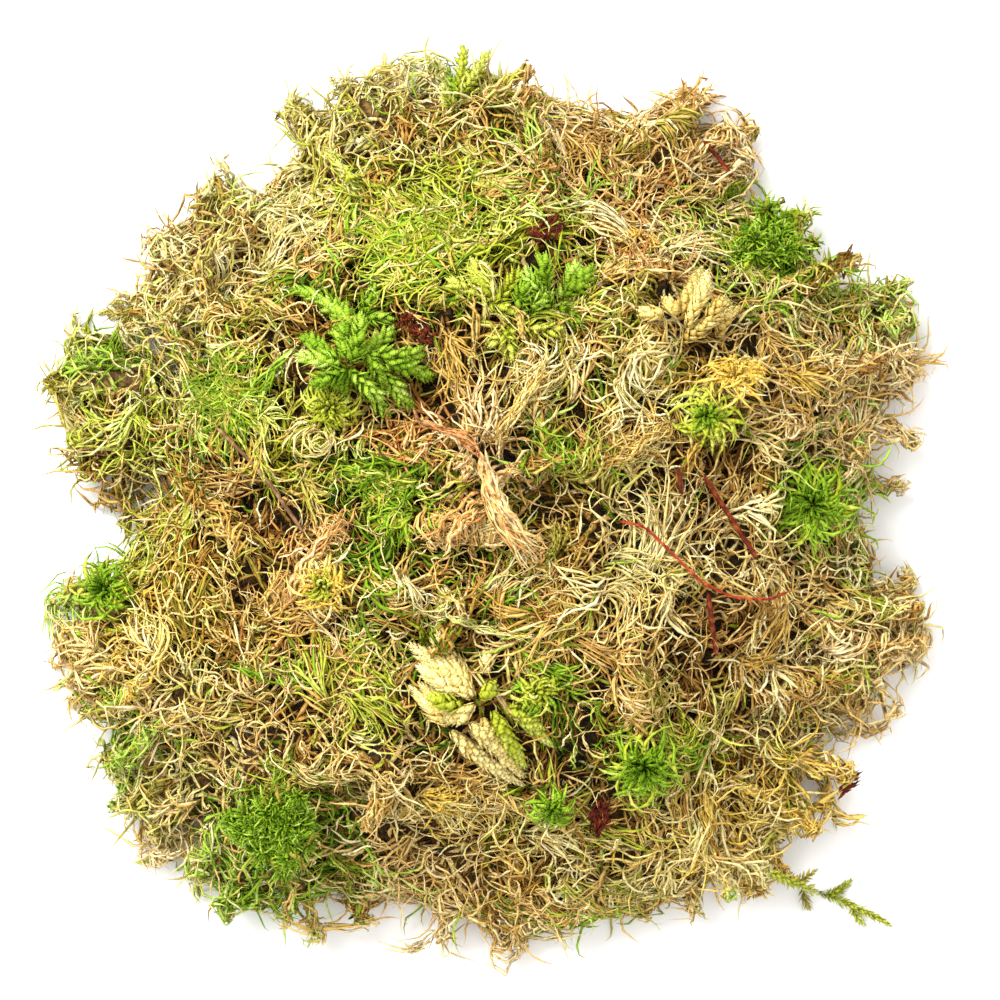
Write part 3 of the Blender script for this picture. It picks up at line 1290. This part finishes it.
for node, stars, blades, body in CUSHIONS:
    stand_in(node, "stars", cushion(node, *stars) + grass(node, *blades) + filling(node, *body))
for node, slot, *layers in PATCHES_OF_GRASS:
    stand_in(node, "blades", [group for layer in layers for group in grass(node, *layer)])
print("pieces:", len(MADE))

# %% [markdown]
# ## Leafy shoots and cones
# The fir-like heads are shoots wrapped in small pointed leaves, and the pale cones are dry shoots with
# larger, wider scales. One leaf is modelled, flat and pointed, and its copies wind round each shoot in a
# spiral, as leaves do, so that each stands in the gap of those below. A stem fills the shoot's middle.

# %% Model a leaf and wind it round shoots
LEAF_MIDDLE = 0.38


def model_leaf():
    """A pointed leaf of length 1 and width 1, widest a third of the way up."""
    item = open_cone(4, 0.22)
    cut_across(LEAF_MIDDLE)
    select_where(item, lambda point: abs(point.z - LEAF_MIDDLE) < 1e-3)
    bpy.ops.transform.resize(value=(3.6, 3.6, 1), center_override=(0, 0, LEAF_MIDDLE))
    bpy.ops.mesh.select_all(action="SELECT")
    bpy.ops.transform.resize(value=(1, 0.32, 1), center_override=(0, 0, 0))
    return taken_out(item)


LEAF = model_leaf()
LEAF_THICKNESS = 0.7


def placed_leaves(origin, ahead, across, length, width, tint, band, root):
    """Copies of the leaf at places, pointing ahead and lying across."""
    normal = np.cross(ahead, across)
    shape = LEAF["verts"]
    verts = (
        origin[:, None]
        + shape[None, :, 0, None] * across[:, None] * width[:, None, None]
        + shape[None, :, 1, None] * normal[:, None] * width[:, None, None] * LEAF_THICKNESS
        + shape[None, :, 2, None] * ahead[:, None] * length[:, None, None]
    )
    return repeated(LEAF, verts, tint, root + (0.96 - root) * shape[:, 2], band)


def shoot(base, tip, bow, radius, leaves, leaf_length, leaf_width, open_angle, finish, tint, blunt, wild):
    """Leaves wound round a bowed line from a base to a tip."""
    base, tip, bow = (np.array(point, float) for point in (base, tip, bow))
    at = (np.arange(leaves) + 0.5) / leaves
    line = base + (tip - base) * at[:, None] + bow * (4 * at * (1 - at))[:, None]
    ahead = unit((tip - base) + bow * (4 - 8 * at)[:, None])
    first = unit(np.cross(ahead, (0.3, 0.2, 0.9)))
    second = np.cross(ahead, first)
    angle = np.arange(leaves) * GOLDEN + chance.normal(0, 0.2 * wild, leaves)
    radial = first * np.cos(angle)[:, None] + second * np.sin(angle)[:, None]
    swell = np.minimum(1, at * 3 + 0.55) * np.clip((1.02 - at) / blunt, 0.12, 1) ** 0.5
    lean = np.radians(open_angle * np.clip(1.15 - at * 0.8, 0.1, 1) + chance.normal(0, 9 * wild, leaves))
    pointing = unit(ahead * np.cos(lean)[:, None] + radial * np.sin(lean)[:, None])
    across = unit(np.cross(pointing, radial))
    origin = line + radial * (radius * swell * 0.8)[:, None]
    shade = tint + 0.22 * (at - 0.4) + chance.normal(0, 0.08, leaves)
    band = np.full(leaves, BANDS.index(finish))
    size = swell * (1 + wild * spread(-0.22, 0.2, leaves))
    root = 0.6 - 0.3 * wild
    return placed_leaves(origin, pointing, across, leaf_length * size, leaf_width * size, shade, band, root)


print("leaf faces:", len(LEAF["faces"]))

# %% [markdown]
# ## Where the shoots lie
# Each row is one shoot as it lies on the heap: the place of its base, the place of its tip, its width
# and how far it stands above its solid, all in millimetres. Their heights are read from the solids.
# The settings of a head are the leaves on 8 mm of shoot, a leaf's length, width and opening, the tint,
# how blunt the tip is, how thick and how wild the shoot is, and its stem's share of the width.

# %% Shoots of the leafy heads and the cones
LEFT_SHOOTS = (
    (-20.7, 20.9, -23.2, 29.5, 2.3, 1.2, "green"), (-20.1, 20.9, -18.6, 28.2, 2.2, 1.6, "green"),
    (-19.4, 21.5, -14.0, 26.6, 2.3, 1.2, "green"), (-21.7, 20.9, -28.6, 22.2, 2.2, 0.2, "green"),
    (-22.0, 21.5, -28.1, 25.5, 2.0, 0.0, "deep"), (-19.8, 27.8, -29.4, 32.8, 2.2, 0.2, "green"),
    (-19.8, 26.4, -25.6, 31.3, 2.0, -0.3, "green"), (-20.1, 27.8, -14.4, 28.1, 2.1, 0.3, "green"),
    (-19.1, 28.4, -16.5, 33.0, 1.9, 0.0, "deep"), (-18.4, 22.5, -10.8, 14.0, 2.4, 0.8, "green"),
    (-17.8, 22.2, -9.0, 22.4, 2.3, 0.5, "green"), (-20.7, 19.9, -25.6, 17.8, 2.1, -0.2, "deep"),
    (-20.4, 19.9, -16.0, 15.7, 2.1, 0.2, "green"), (-19.8, 18.0, -14.5, 13.1, 2.1, -0.5, "green"),
    (-19.8, 20.6, -22.7, 16.0, 2.0, -0.6, "deep"), (-14.9, 20.9, -7.7, 18.6, 2.0, -0.3, "deep"),
    (-20.7, 24.5, -20.4, 29.4, 2.0, 0.6, "deep"), (-16.8, 20.9, -12.2, 17.0, 2.0, 0.0, "green"),
)
TOP_SHOOTS = (
    (2.1, 29.7, 6.2, 35.8, 2.2, 0.8, "lime"), (11.6, 29.2, 7.2, 35.6, 2.4, 1.2, "green"),
    (11.9, 29.7, 14.9, 36.6, 2.2, 0.8, "green"), (12.9, 31.3, 17.6, 36.1, 2.1, 0.4, "green"),
    (5.7, 28.1, 6.9, 32.6, 2.0, 0.6, "green"), (11.9, 30.7, 15.5, 27.3, 2.1, 0.2, "green"),
    (5.1, 27.1, 12.6, 26.3, 2.2, 0.6, "lime"), (4.4, 27.8, 5.2, 21.7, 2.2, 0.2, "lime"),
    (0.8, 31.3, -4.4, 33.5, 2.1, 0.0, "lime"), (0.5, 30.7, 4.2, 29.5, 2.2, 0.8, "lime"),
    (8.0, 27.8, 9.3, 30.4, 1.9, 0.6, "green"), (2.4, 30.4, -1.1, 36.9, 2.0, 0.2, "lime"),
    (10.0, 32.3, 9.6, 37.2, 2.0, 0.2, "green"), (4.1, 25.5, 1.3, 24.0, 1.8, 0.0, "lime"),
)
LOW_CONES = (
    (-1.0, -31.7, -11.0, -23.3, 4.4, 1.4, "cream"), (-1.2, -30.8, -7.6, -22.5, 2.3, 0.9, "cream"),
    (-1.2, -28.4, -6.9, -21.2, 2.1, 0.2, "cream"), (0.7, -28.2, 1.0, -24.7, 1.8, 0.2, "cream"),
    (-4.8, -36.1, -11.0, -30.0, 2.1, 0.0, "cream"), (-3.7, -35.6, -9.3, -29.7, 2.0, 0.4, "cream"),
    (-0.8, -32.4, -5.2, -35.0, 2.0, 1.2, "cream"), (-4.8, -36.8, 6.5, -45.5, 2.3, 0.8, "cream"),
    (-1.7, -35.4, 5.8, -42.2, 2.2, 1.0, "cream"), (1.8, -33.5, 7.0, -42.5, 2.2, 1.1, "lime"),
    (4.5, -33.5, 11.3, -39.2, 2.2, 0.8, "lime"), (-0.1, -31.5, 2.1, -29.3, 2.0, 1.6, "lime"),
    (-3.2, -31.2, -9.6, -26.6, 2.2, 0.5, "cream"), (-2.6, -33.0, -7.6, -31.4, 2.2, 0.9, "lime"),
    (0.2, -34.6, 6.9, -44.2, 2.1, 0.5, "cream"), (2.6, -32.4, 9.4, -36.4, 2.0, 0.5, "lime"),
)
RIGHT_CONES = (
    (31.4, 28.6, 35.2, 36.5, 2.1, 1.0, "cream"), (32.6, 26.4, 36.3, 32.8, 2.0, 0.8, "cream"),
    (32.0, 24.3, 39.2, 29.6, 2.1, 1.0, "cream"), (37.7, 24.7, 40.7, 29.6, 1.7, 0.0, "cream"),
    (29.0, 28.8, 25.5, 29.0, 2.4, 1.4, "cream"), (30.8, 28.4, 28.8, 31.3, 2.1, 1.6, "cream"),
    (35.3, 27.2, 38.4, 31.0, 1.9, 0.0, "cream"), (33.5, 29.2, 35.6, 35.3, 1.8, 0.6, "cream"),
)
SPROUTS = (
    (-3.6, 64.0, -3.0, 73.0, 2.0, 1.5, "lime"), (-3.2, 64.5, -6.5, 70.0, 1.7, 1.0, "green"),
    (-2.6, 65.0, 1.8, 72.6, 0.9, 1.5, "lime"), (-3.6, 62.5, -1.0, 69.0, 1.6, 1.0, "green"),
    (-4.0, 62.0, -6.0, 66.0, 1.7, 0.8, "lime"),
)
TRAIL = (
    (45.8, -60.0, 55.0, -64.5, 1.0, 0.6, "lime"), (54.5, -64.0, 66.5, -69.5, 0.9, 0.5, "lime"),
    (50.0, -62.0, 54.0, -60.0, 0.8, 0.5, "olive"), (56.0, -64.5, 60.0, -62.0, 0.8, 0.5, "lime"),
    (52.0, -63.0, 53.0, -66.5, 0.8, 0.5, "olive"), (60.0, -66.5, 62.0, -69.5, 0.7, 0.5, "lime"),
)
SHOOT_HEADS = (
    ("leafy_head_left", "shoots", "green_moss", LEFT_SHOOTS, (54, 2.6, 1.25, 44, 0.7, 0.3)),
    ("leafy_head_top", "shoots", "green_moss", TOP_SHOOTS, (54, 2.5, 1.15, 46, 0.62, 0.3)),
    ("cream_head_low", "cones", "cream_moss", LOW_CONES, (50, 2.8, 1.7, 27, 0.56, 0.5, 0.3, 0.45, 0.46)),
    ("cream_head_right", "cones", "cream_moss", RIGHT_CONES, (50, 2.6, 1.55, 25, 0.46, 0.5, 0.3, 0.4, 0.46)),
    ("sprout_top", "shoots", "green_moss", SPROUTS, (60, 1.7, 0.9, 52, 0.6, 0.3)),
    ("sprig_trailing", "shoots", "lime_moss", TRAIL, (60, 1.5, 0.6, 55, 0.6, 0.3)),
)


def top_at(x, y, trees):
    """The highest surface over a place, in millimetres."""
    hits = [dropped(tree, x, y) for tree in trees]
    return max([hit.z for hit in hits if hit is not None], default=0.0)


def shoots(node, rows, leaves, length, width, opening, tint, blunt, thick=0.24, wild=1.0, stem=0.25):
    """All shoots of one head, each round a stem that fills its middle."""
    trees = [surface_tree(frame["nodes"][node]), skin_tree]
    groups = []
    for x0, y0, x1, y1, wide, lift, finish in rows:
        base = np.array([x0, y0, top_at(x0, y0, trees) - wide * 0.35 + lift * 0.5])
        tip = np.array([x1, y1, top_at(x1, y1, trees) - wide * 0.1 + lift])
        bow = np.array([chance.normal(0, 0.35), chance.normal(0, 0.35), 0.8])
        size = math.hypot(x1 - x0, y1 - y0)
        groups.append(shoot(
            base, tip, bow, wide * thick, int(leaves * size / 8), length, width, opening, finish,
            tint + chance.normal(0, 0.07), blunt, wild,
        ))
        at = np.linspace(0.03, 0.93, 7)[:, None]
        inner = base * (1 - at) + tip * at + bow * (4 * at * (1 - at))
        groups.append(bent_copies(inner[None], wide * stem, tint - 0.15, BANDS.index(finish), 1.0, BLUNT))
    return groups


for node, kind, slot, rows, settings in SHOOT_HEADS:
    stand_in(node, kind, shoots(node, rows, *settings))
print("pieces:", len(MADE))

# %% [markdown]
# ## Routes over the heap
# Stems, needles and threads follow their solids, seen from above. A route is a row of places that is
# smoothed into a line, and one shift moves all routes into the frame. Each point takes the height of
# its solid there, or a lower one where the solid stands clear of the heap.

# %% Routes over the heap
SHIFT = np.array([-0.45, -1.36, 0.0])


def over_solid(node, route, count, lift=0.0, rest=9.0, stiff=False):
    """A smooth line through a route at the height of a node's solid, or lower, to rest on the heap."""
    points = np.array(route, float)
    along = np.concatenate([[0], np.cumsum(np.linalg.norm(np.diff(points, axis=0), axis=1))])
    at = np.linspace(0, along[-1], count)
    flat = np.stack([np.interp(at, along, points[:, axis]) for axis in (0, 1)], 1)
    for _ in range(2):
        flat[1:-1] = (flat[:-2] + 2 * flat[1:-1] + flat[2:]) / 4
    verts = np.array([vert.co for vert in frame["nodes"][node].data.vertices]) / MM
    line = np.zeros((count, 3))
    for index, place in enumerate(flat):
        away = np.hypot(verts[:, 0] - place[0] - SHIFT[0], verts[:, 1] - place[1] - SHIFT[1])
        height = np.average(verts[:, 2], weights=np.exp(-(away / 1.2) ** 2) + 1e-9)
        ground = top_at(place[0] + SHIFT[0], place[1] + SHIFT[1], [skin_tree])
        line[index] = (*place, min(height, ground + rest))
    if stiff:
        line[:, 2] = np.polyval(np.polyfit(at, line[:, 2], 2), at)
    return line + SHIFT + np.array([0, 0, lift])


print("the routes move by", SHIFT[:2], "mm")

# %% [markdown]
# ## Torn stems
# Old stems have torn into pale or peach fibres with brushes at their ends. Strips lie side by side
# along a stem and part at its ends, and a fringe of curly fibres leaves it at all angles.

# %% Torn stems
FIBRE_POINTS = 14
BRANCHES[FIBRE_POINTS - 2] = model_branch(FIBRE_POINTS - 2, 3, 0.1)


def along_line(values, at):
    """Values read between the points of a line, at places from 0 to 1."""
    steps = np.arange(len(values))
    return np.stack([np.interp(at * steps[-1], steps, values[:, axis]) for axis in range(3)], 1)


def fibres(line, count, width, fan_start, fan_end, finishes, radius, tint, flat=1.3):
    """Torn strips side by side along a line, which part at its ends."""
    ahead = unit(np.gradient(line, axis=0))
    side = unit(np.cross(ahead, UP))
    lines = np.empty((count, FIBRE_POINTS, 3))
    for index in range(count):
        first = chance.uniform(0, 0.5)
        own = np.linspace(first, min(1, first + chance.uniform(0.4, 0.8)), FIBRE_POINTS)
        fan = 1 + fan_start * np.clip(0.3 - own, 0, 1) * 3.3 + fan_end * np.clip(own - 0.7, 0, 1) * 3.3
        wave = chance.uniform(0.25, 0.8) * np.sin(own * chance.uniform(9, 30) + chance.uniform(0, 6))
        sideways = (chance.normal(0, 0.45) * width * fan + wave)[:, None]
        lines[index] = along_line(line, own) + along_line(side, own) * sideways
        lift = chance.uniform(0.1, 0.45) * np.sin(own * chance.uniform(12, 34) + chance.uniform(0, 6))
        lines[index, :, 2] += abs(chance.normal(0, 0.4)) + lift
    band = one_of(finishes, count)
    radius = radius * spread(0.7, 1.3, count)
    return bent_copies(above_table(lines), radius, tint + chance.normal(0, 0.14, count), band, flat)


def fringe(line, count, finishes, radius, length, tint, curl=1.6):
    """Curly fibres that leave a torn stem at all angles."""
    at = spread(0, 1, count) * (len(line) - 1.001)
    low = at.astype(int)
    start = line[low] + (line[low + 1] - line[low]) * (at - low)[:, None]
    _, outward = nearest(start)
    side = chance.choice((-1, 1), count) * spread(10, 85, count)
    heading = turned(unit(line[low + 1] - line[low]), outward, side)
    heights = ramp3(spread(0.2, 0.8, count), spread(0.2, 1.6, count), spread(-0.4, 1.8, count), 9)
    turns = curl * curls(count, 9, np.zeros(count))
    lines = walk(start, heading, length * spread(0.5, 1.3, count), heights, turns)
    band = one_of(finishes, count)
    radius = radius * spread(0.7, 1.3, count)
    return bent_copies(lines, radius, tint + chance.normal(0, 0.14, count), band, 1.2)


MAIN_ROUTE = [(-11.5, 17.3), (-10.6, 14.4), (-7.7, 12), (-4.2, 11.7), (-0.5, 9.6), (1, 5.6)]
DOWN_ROUTE = [(-0.8, 9.8), (1, 5.6), (1.9, 2.4), (2.9, -0.5), (5.1, -4), (8.3, -7.5), (9.9, -8.8)]
KNOT_ROUTE = [(3, 1), (-2, -1), (-4, -4), (-6.5, -8)]
UNDER_SHEATH = np.array([0, 0, 3.5])
main = over_solid("sheath_peach", MAIN_ROUTE, 12, 0.5)
down = over_solid("sheath_peach", DOWN_ROUTE, 14, 0.7)
knot = over_solid("sheath_peach", KNOT_ROUTE, 9, 0.4)
stand_in("sheath_peach", "fibres", [
    fibres(main, 9, 0.4, 0.8, 0.4, ("rust",), 0.28, 0.65, 1.4),
    fibres(down, 16, 1.5, 0.2, 0.9, ("peach",), 0.36, 0.66, 1.8),
    fibres(down, 16, 2.1, 0.3, 1.2, ("peach", "cream"), 0.21, 0.8),
    fibres(knot, 12, 1.5, 0.4, 0.9, ("peach",), 0.28, 0.6, 1.5),
    fringe(down, 80, ("peach", "peach", "cream"), 0.22, 5.5, 0.7, 2.6),
    fringe(down[5:9], 70, ("peach", "tan", "cream"), 0.24, 8, 0.65, 2.4),
    fringe(knot, 64, ("peach", "tan"), 0.24, 6.5, 0.66, 2.1),
    fringe(down - UNDER_SHEATH, 80, ("lime", "olive", "straw"), 0.26, 8, 0.6, 2.2),
])
LEFT_ROUTE = [(-31, -16), (-28.5, -11.2), (-25.3, -6.4), (-21, -2)]
FRAYED = (
    ("middle", [(2, 8.5), (6, 15), (10.5, 22)], 26, 2.2, 0.24, ("cream", "straw"), 34, "cream_moss"),
    ("right", [(19.5, 6), (25, 9), (30.5, 13.5)], 22, 2.0, 0.22, ("cream", "straw"), 30, "cream_moss"),
    ("left", LEFT_ROUTE, 24, 1.4, 0.26, ("peach",), 30, "peach_sheath"),
)
for place, route, count, fan, radius, finishes, loose, slot in FRAYED:
    node = "frayed_stem_" + place
    line = over_solid(node, route, 10, 0.5)
    stand_in(node, "fibres", [
        fibres(line, count, 0.6, 0.5, fan, finishes, radius, 0.55),
        fringe(line[-5:], loose, finishes, radius * 0.8, 5, 0.6),
        fringe(line, loose // 2, finishes, radius * 0.8, 4, 0.5),
    ])
print("torn stems made; pieces:", len(MADE))

# %% [markdown]
# ## Needles and twig
# A needle is a slim rod with blunt ends, so the same modelled rod is bent along each route, and the
# twig is a longer one. They rest on the heap below their solids. Litter is blotched, dark and dull.

# %% Needles and twig
LITTER_COLOURS = {
    "needle_finish": [(58, 14, 6), (104, 34, 14), (156, 78, 38)],
    "twig_finish": [(70, 48, 30), (124, 90, 58), (172, 138, 98)],
    "thread_finish": [(96, 22, 12), (158, 58, 30), (206, 112, 72)],
    "bark_finish": [(38, 10, 4), (92, 28, 12), (140, 60, 28)],
}


def rod_width(along):
    """A rod keeps its width nearly to its ends."""
    return min(1.0, 0.55 + 9 * along, 0.4 + 9 * (1 - along))


ROD = model_branch(10, 8, 0.03, rod_width)


def litter_finish(name, colours):
    """Blotches over needles, wood and bark, on object coordinates."""
    material, surface, start = new_finish(name)
    place = start.add("ShaderNodeTexCoord").other(3)
    grain = start.add("ShaderNodeTexNoise", None, {"Vector": place, "Scale": 900.0, "Detail": 4.0})
    stops = [(0.28 + 0.22 * index, paint(*colour)) for index, colour in enumerate(colours)]
    start.add("ShaderNodeValToRGB", {"stops": stops}, {0: grain}).to(surface, "Base Color")
    grain.emboss(surface, 0.6, 0.0003)
    (grain * 0.3 + 0.45).to(surface, "Roughness")
    surface.inputs["Specular IOR Level"].default_value = SHEEN
    return material


LITTER_FINISHES = {name: litter_finish(name, colours) for name, colours in LITTER_COLOURS.items()}


def rods(name, lines, radius, finish, node, shape=ROD):
    """Rods along lines as one piece."""
    item = joined(name, [bent_copies(np.array(lines), radius, 0.5, 0, 1.0, shape)])
    item.data.materials.clear()
    item.data.materials.append(LITTER_FINISHES[finish])
    return placed(item, [node])


RODS = (
    ("needle_right", [(35, 5.5), (40, -2), (44.5, -9)], 0.42, 1.2, "needle_finish", "red_litter"),
    ("needle_right_low", [(36.3, -13.6), (37, -19), (37.8, -24)], 0.42, 1.2, "needle_finish", "red_litter"),
    ("needle_middle", [(31.5, 6), (31.8, 4), (32.2, 1.5)], 0.34, 1.2, "needle_finish", "red_litter"),
    ("needle_upper_right", [(36, 58.8), (38.5, 56), (41, 52.6)], 0.38, 1.2, "needle_finish", "red_litter"),
    ("twig_brown", [(-42, 13), (-34, 5), (-27, -5)], 0.35, 1.6, "twig_finish", "brown_twig"),
)
for node, route, radius, rest, finish, slot in RODS:
    rods(node + "_rod", [over_solid(node, route, 12, 0.4, rest, True)], radius, finish, node)
print("rods:", len(RODS))

# %% [markdown]
# ## Pale stem, thread and bark
# The pale stem is a few strips with a thin fringe. The red thread is two plies that wind round each
# other. A bit of bark is a handful of torn splinters, which lie on the heap below its solid.

# %% Pale stem, thread and bark
PALE_ROUTE = [(-12.5, -14), (-7, -16.8), (-2, -18), (3, -20.2), (9, -21)]
pale = over_solid("stem_pale_middle", PALE_ROUTE, 12, 0.6, 1.6)
finished("stem_pale_strips", [
    fibres(pale, 7, 0.3, 0.3, 0.8, ("lime", "cream"), 0.22, 0.85, 1.2),
    fringe(pale, 26, ("lime", "cream"), 0.16, 3.5, 0.8),
], ["stem_pale_middle"])

THREAD_ROUTE = [(22, -2.5), (26, -3.2), (30, -7), (35, -12), (40, -14.5), (46, -15), (50, -13.5)]
THREAD_POINTS = 40
THREAD_TURNS = 9
PLY_RADIUS = 0.17
thread = over_solid("red_thread", THREAD_ROUTE, THREAD_POINTS, 0.5)
ahead = unit(np.gradient(thread, axis=0))
side = unit(np.cross(ahead, UP))
turn = np.linspace(0, 2 * math.pi * THREAD_TURNS, THREAD_POINTS)[:, None]
plies = [
    thread + PLY_RADIUS * (side * np.cos(turn + phase) + np.cross(ahead, side) * np.sin(turn + phase))
    for phase in (0, math.pi)
]
PLY = model_branch(THREAD_POINTS - 2, 5, 0.03, rod_width)
rods("red_thread_plies", plies, PLY_RADIUS, "thread_finish", "red_thread", PLY)


def splinters(node, count, lean, scatter, length):
    """Torn splinters of bark, heaped on their solid or lower, on the heap."""
    tree = surface_tree(frame["nodes"][node])
    _, _, low, high = box_mm(node)
    lines = []
    for _ in range(count):
        x, y, hit = random_drop(tree, low, high)
        turn = math.radians(lean + chance.normal(0, scatter))
        step = np.array([math.cos(turn), math.sin(turn), chance.normal(0, 0.25)])
        at = np.linspace(-0.5, 0.5, 5)[:, None] * length * chance.uniform(0.5, 1.2)
        ground = top_at(x, y, [skin_tree]) or hit.z - 4
        place = np.array([x, y, min(hit.z, ground + 0.8)])
        lines.append(place + at * step + np.array([0, 0, chance.uniform(-0.3, 0.6)]))
    rods(node + "_splinters", lines, spread(0.14, 0.32, count), "bark_finish", node, SPLINTER)


SPLINTER = model_branch(3, 4, 0.3, lambda along: 1.0 if along < 0.7 else 0.5)
for row in (
    ("bark_top", 60, 20, 70, 2.2), ("bark_middle", 54, 70, 70, 2.2), ("bark_low", 54, 75, 22, 3.4),
    ("bark_right", 22, 35, 10, 2.8),
):
    splinters(*row)
print("pieces:", len(MADE), "triangles:", sum(count for _, count in MADE))

# %% [markdown]
# ## Table, light and camera
# The heap lies on a white table under a large soft light from the upper left, with pale light from all
# round, so its shadows are soft. The camera looks straight down from far off with a long lens.

# %% Table, light and camera
deselect()
bpy.ops.mesh.primitive_plane_add(size=4.0, location=(0, 0, 0))
table = bpy.context.active_object
table.name = "table"
paper, surface, _ = new_finish("white_table")
surface.inputs["Base Color"].default_value = (0.93, 0.93, 0.93, 1)
surface.inputs["Roughness"].default_value = 0.9
table.data.materials.append(paper)
table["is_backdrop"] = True


def soft_light(name, place, size, power):
    """A square light that looks at the heap."""
    data = bpy.data.lights.new(name, "AREA")
    data.size = size
    data.energy = power
    item = bpy.data.objects.new(name, data)
    item.location = place
    item.rotation_euler = (Vector((0, 0, 0.02)) - Vector(place)).to_track_quat("-Z", "Y").to_euler()
    bpy.context.scene.collection.objects.link(item)
    return item


soft_light("soft_light", (-0.55, 0.6, 0.9), 0.7, 20)
world = bpy.data.worlds.new("pale_room")
world.use_nodes = True
room = world.node_tree.nodes["Background"]
room.inputs["Color"].default_value = (1.0, 1.0, 1.0, 1)
room.inputs["Strength"].default_value = 1.3
bpy.context.scene.world = world
bpy.context.scene.view_settings.view_transform = "Standard"

LENS = 250
FRAME_WIDTH = 0.160
AIM = (0.00307, -0.00056)
SHARP_HEIGHT = 0.014
lens = bpy.data.cameras.new("camera")
lens.lens = LENS
lens.clip_end = 10
camera = bpy.data.objects.new("camera", lens)
camera.location = (*AIM, SHARP_HEIGHT + FRAME_WIDTH * LENS / lens.sensor_width)
bpy.context.scene.collection.objects.link(camera)
bpy.context.scene.camera = camera
print("camera height:", round(camera.location.z, 3))

# %% [markdown]
# ## Sizes and the last line
# The dressed heap should keep to the box of its solids, so both boxes are written down.

# %% Write the sizes and finish
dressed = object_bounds()
for name, box in (("cad", cad_box), ("dressed", dressed)):
    print(name, "box:", [[round(v / MM, 1) for v in corner] for corner in box])
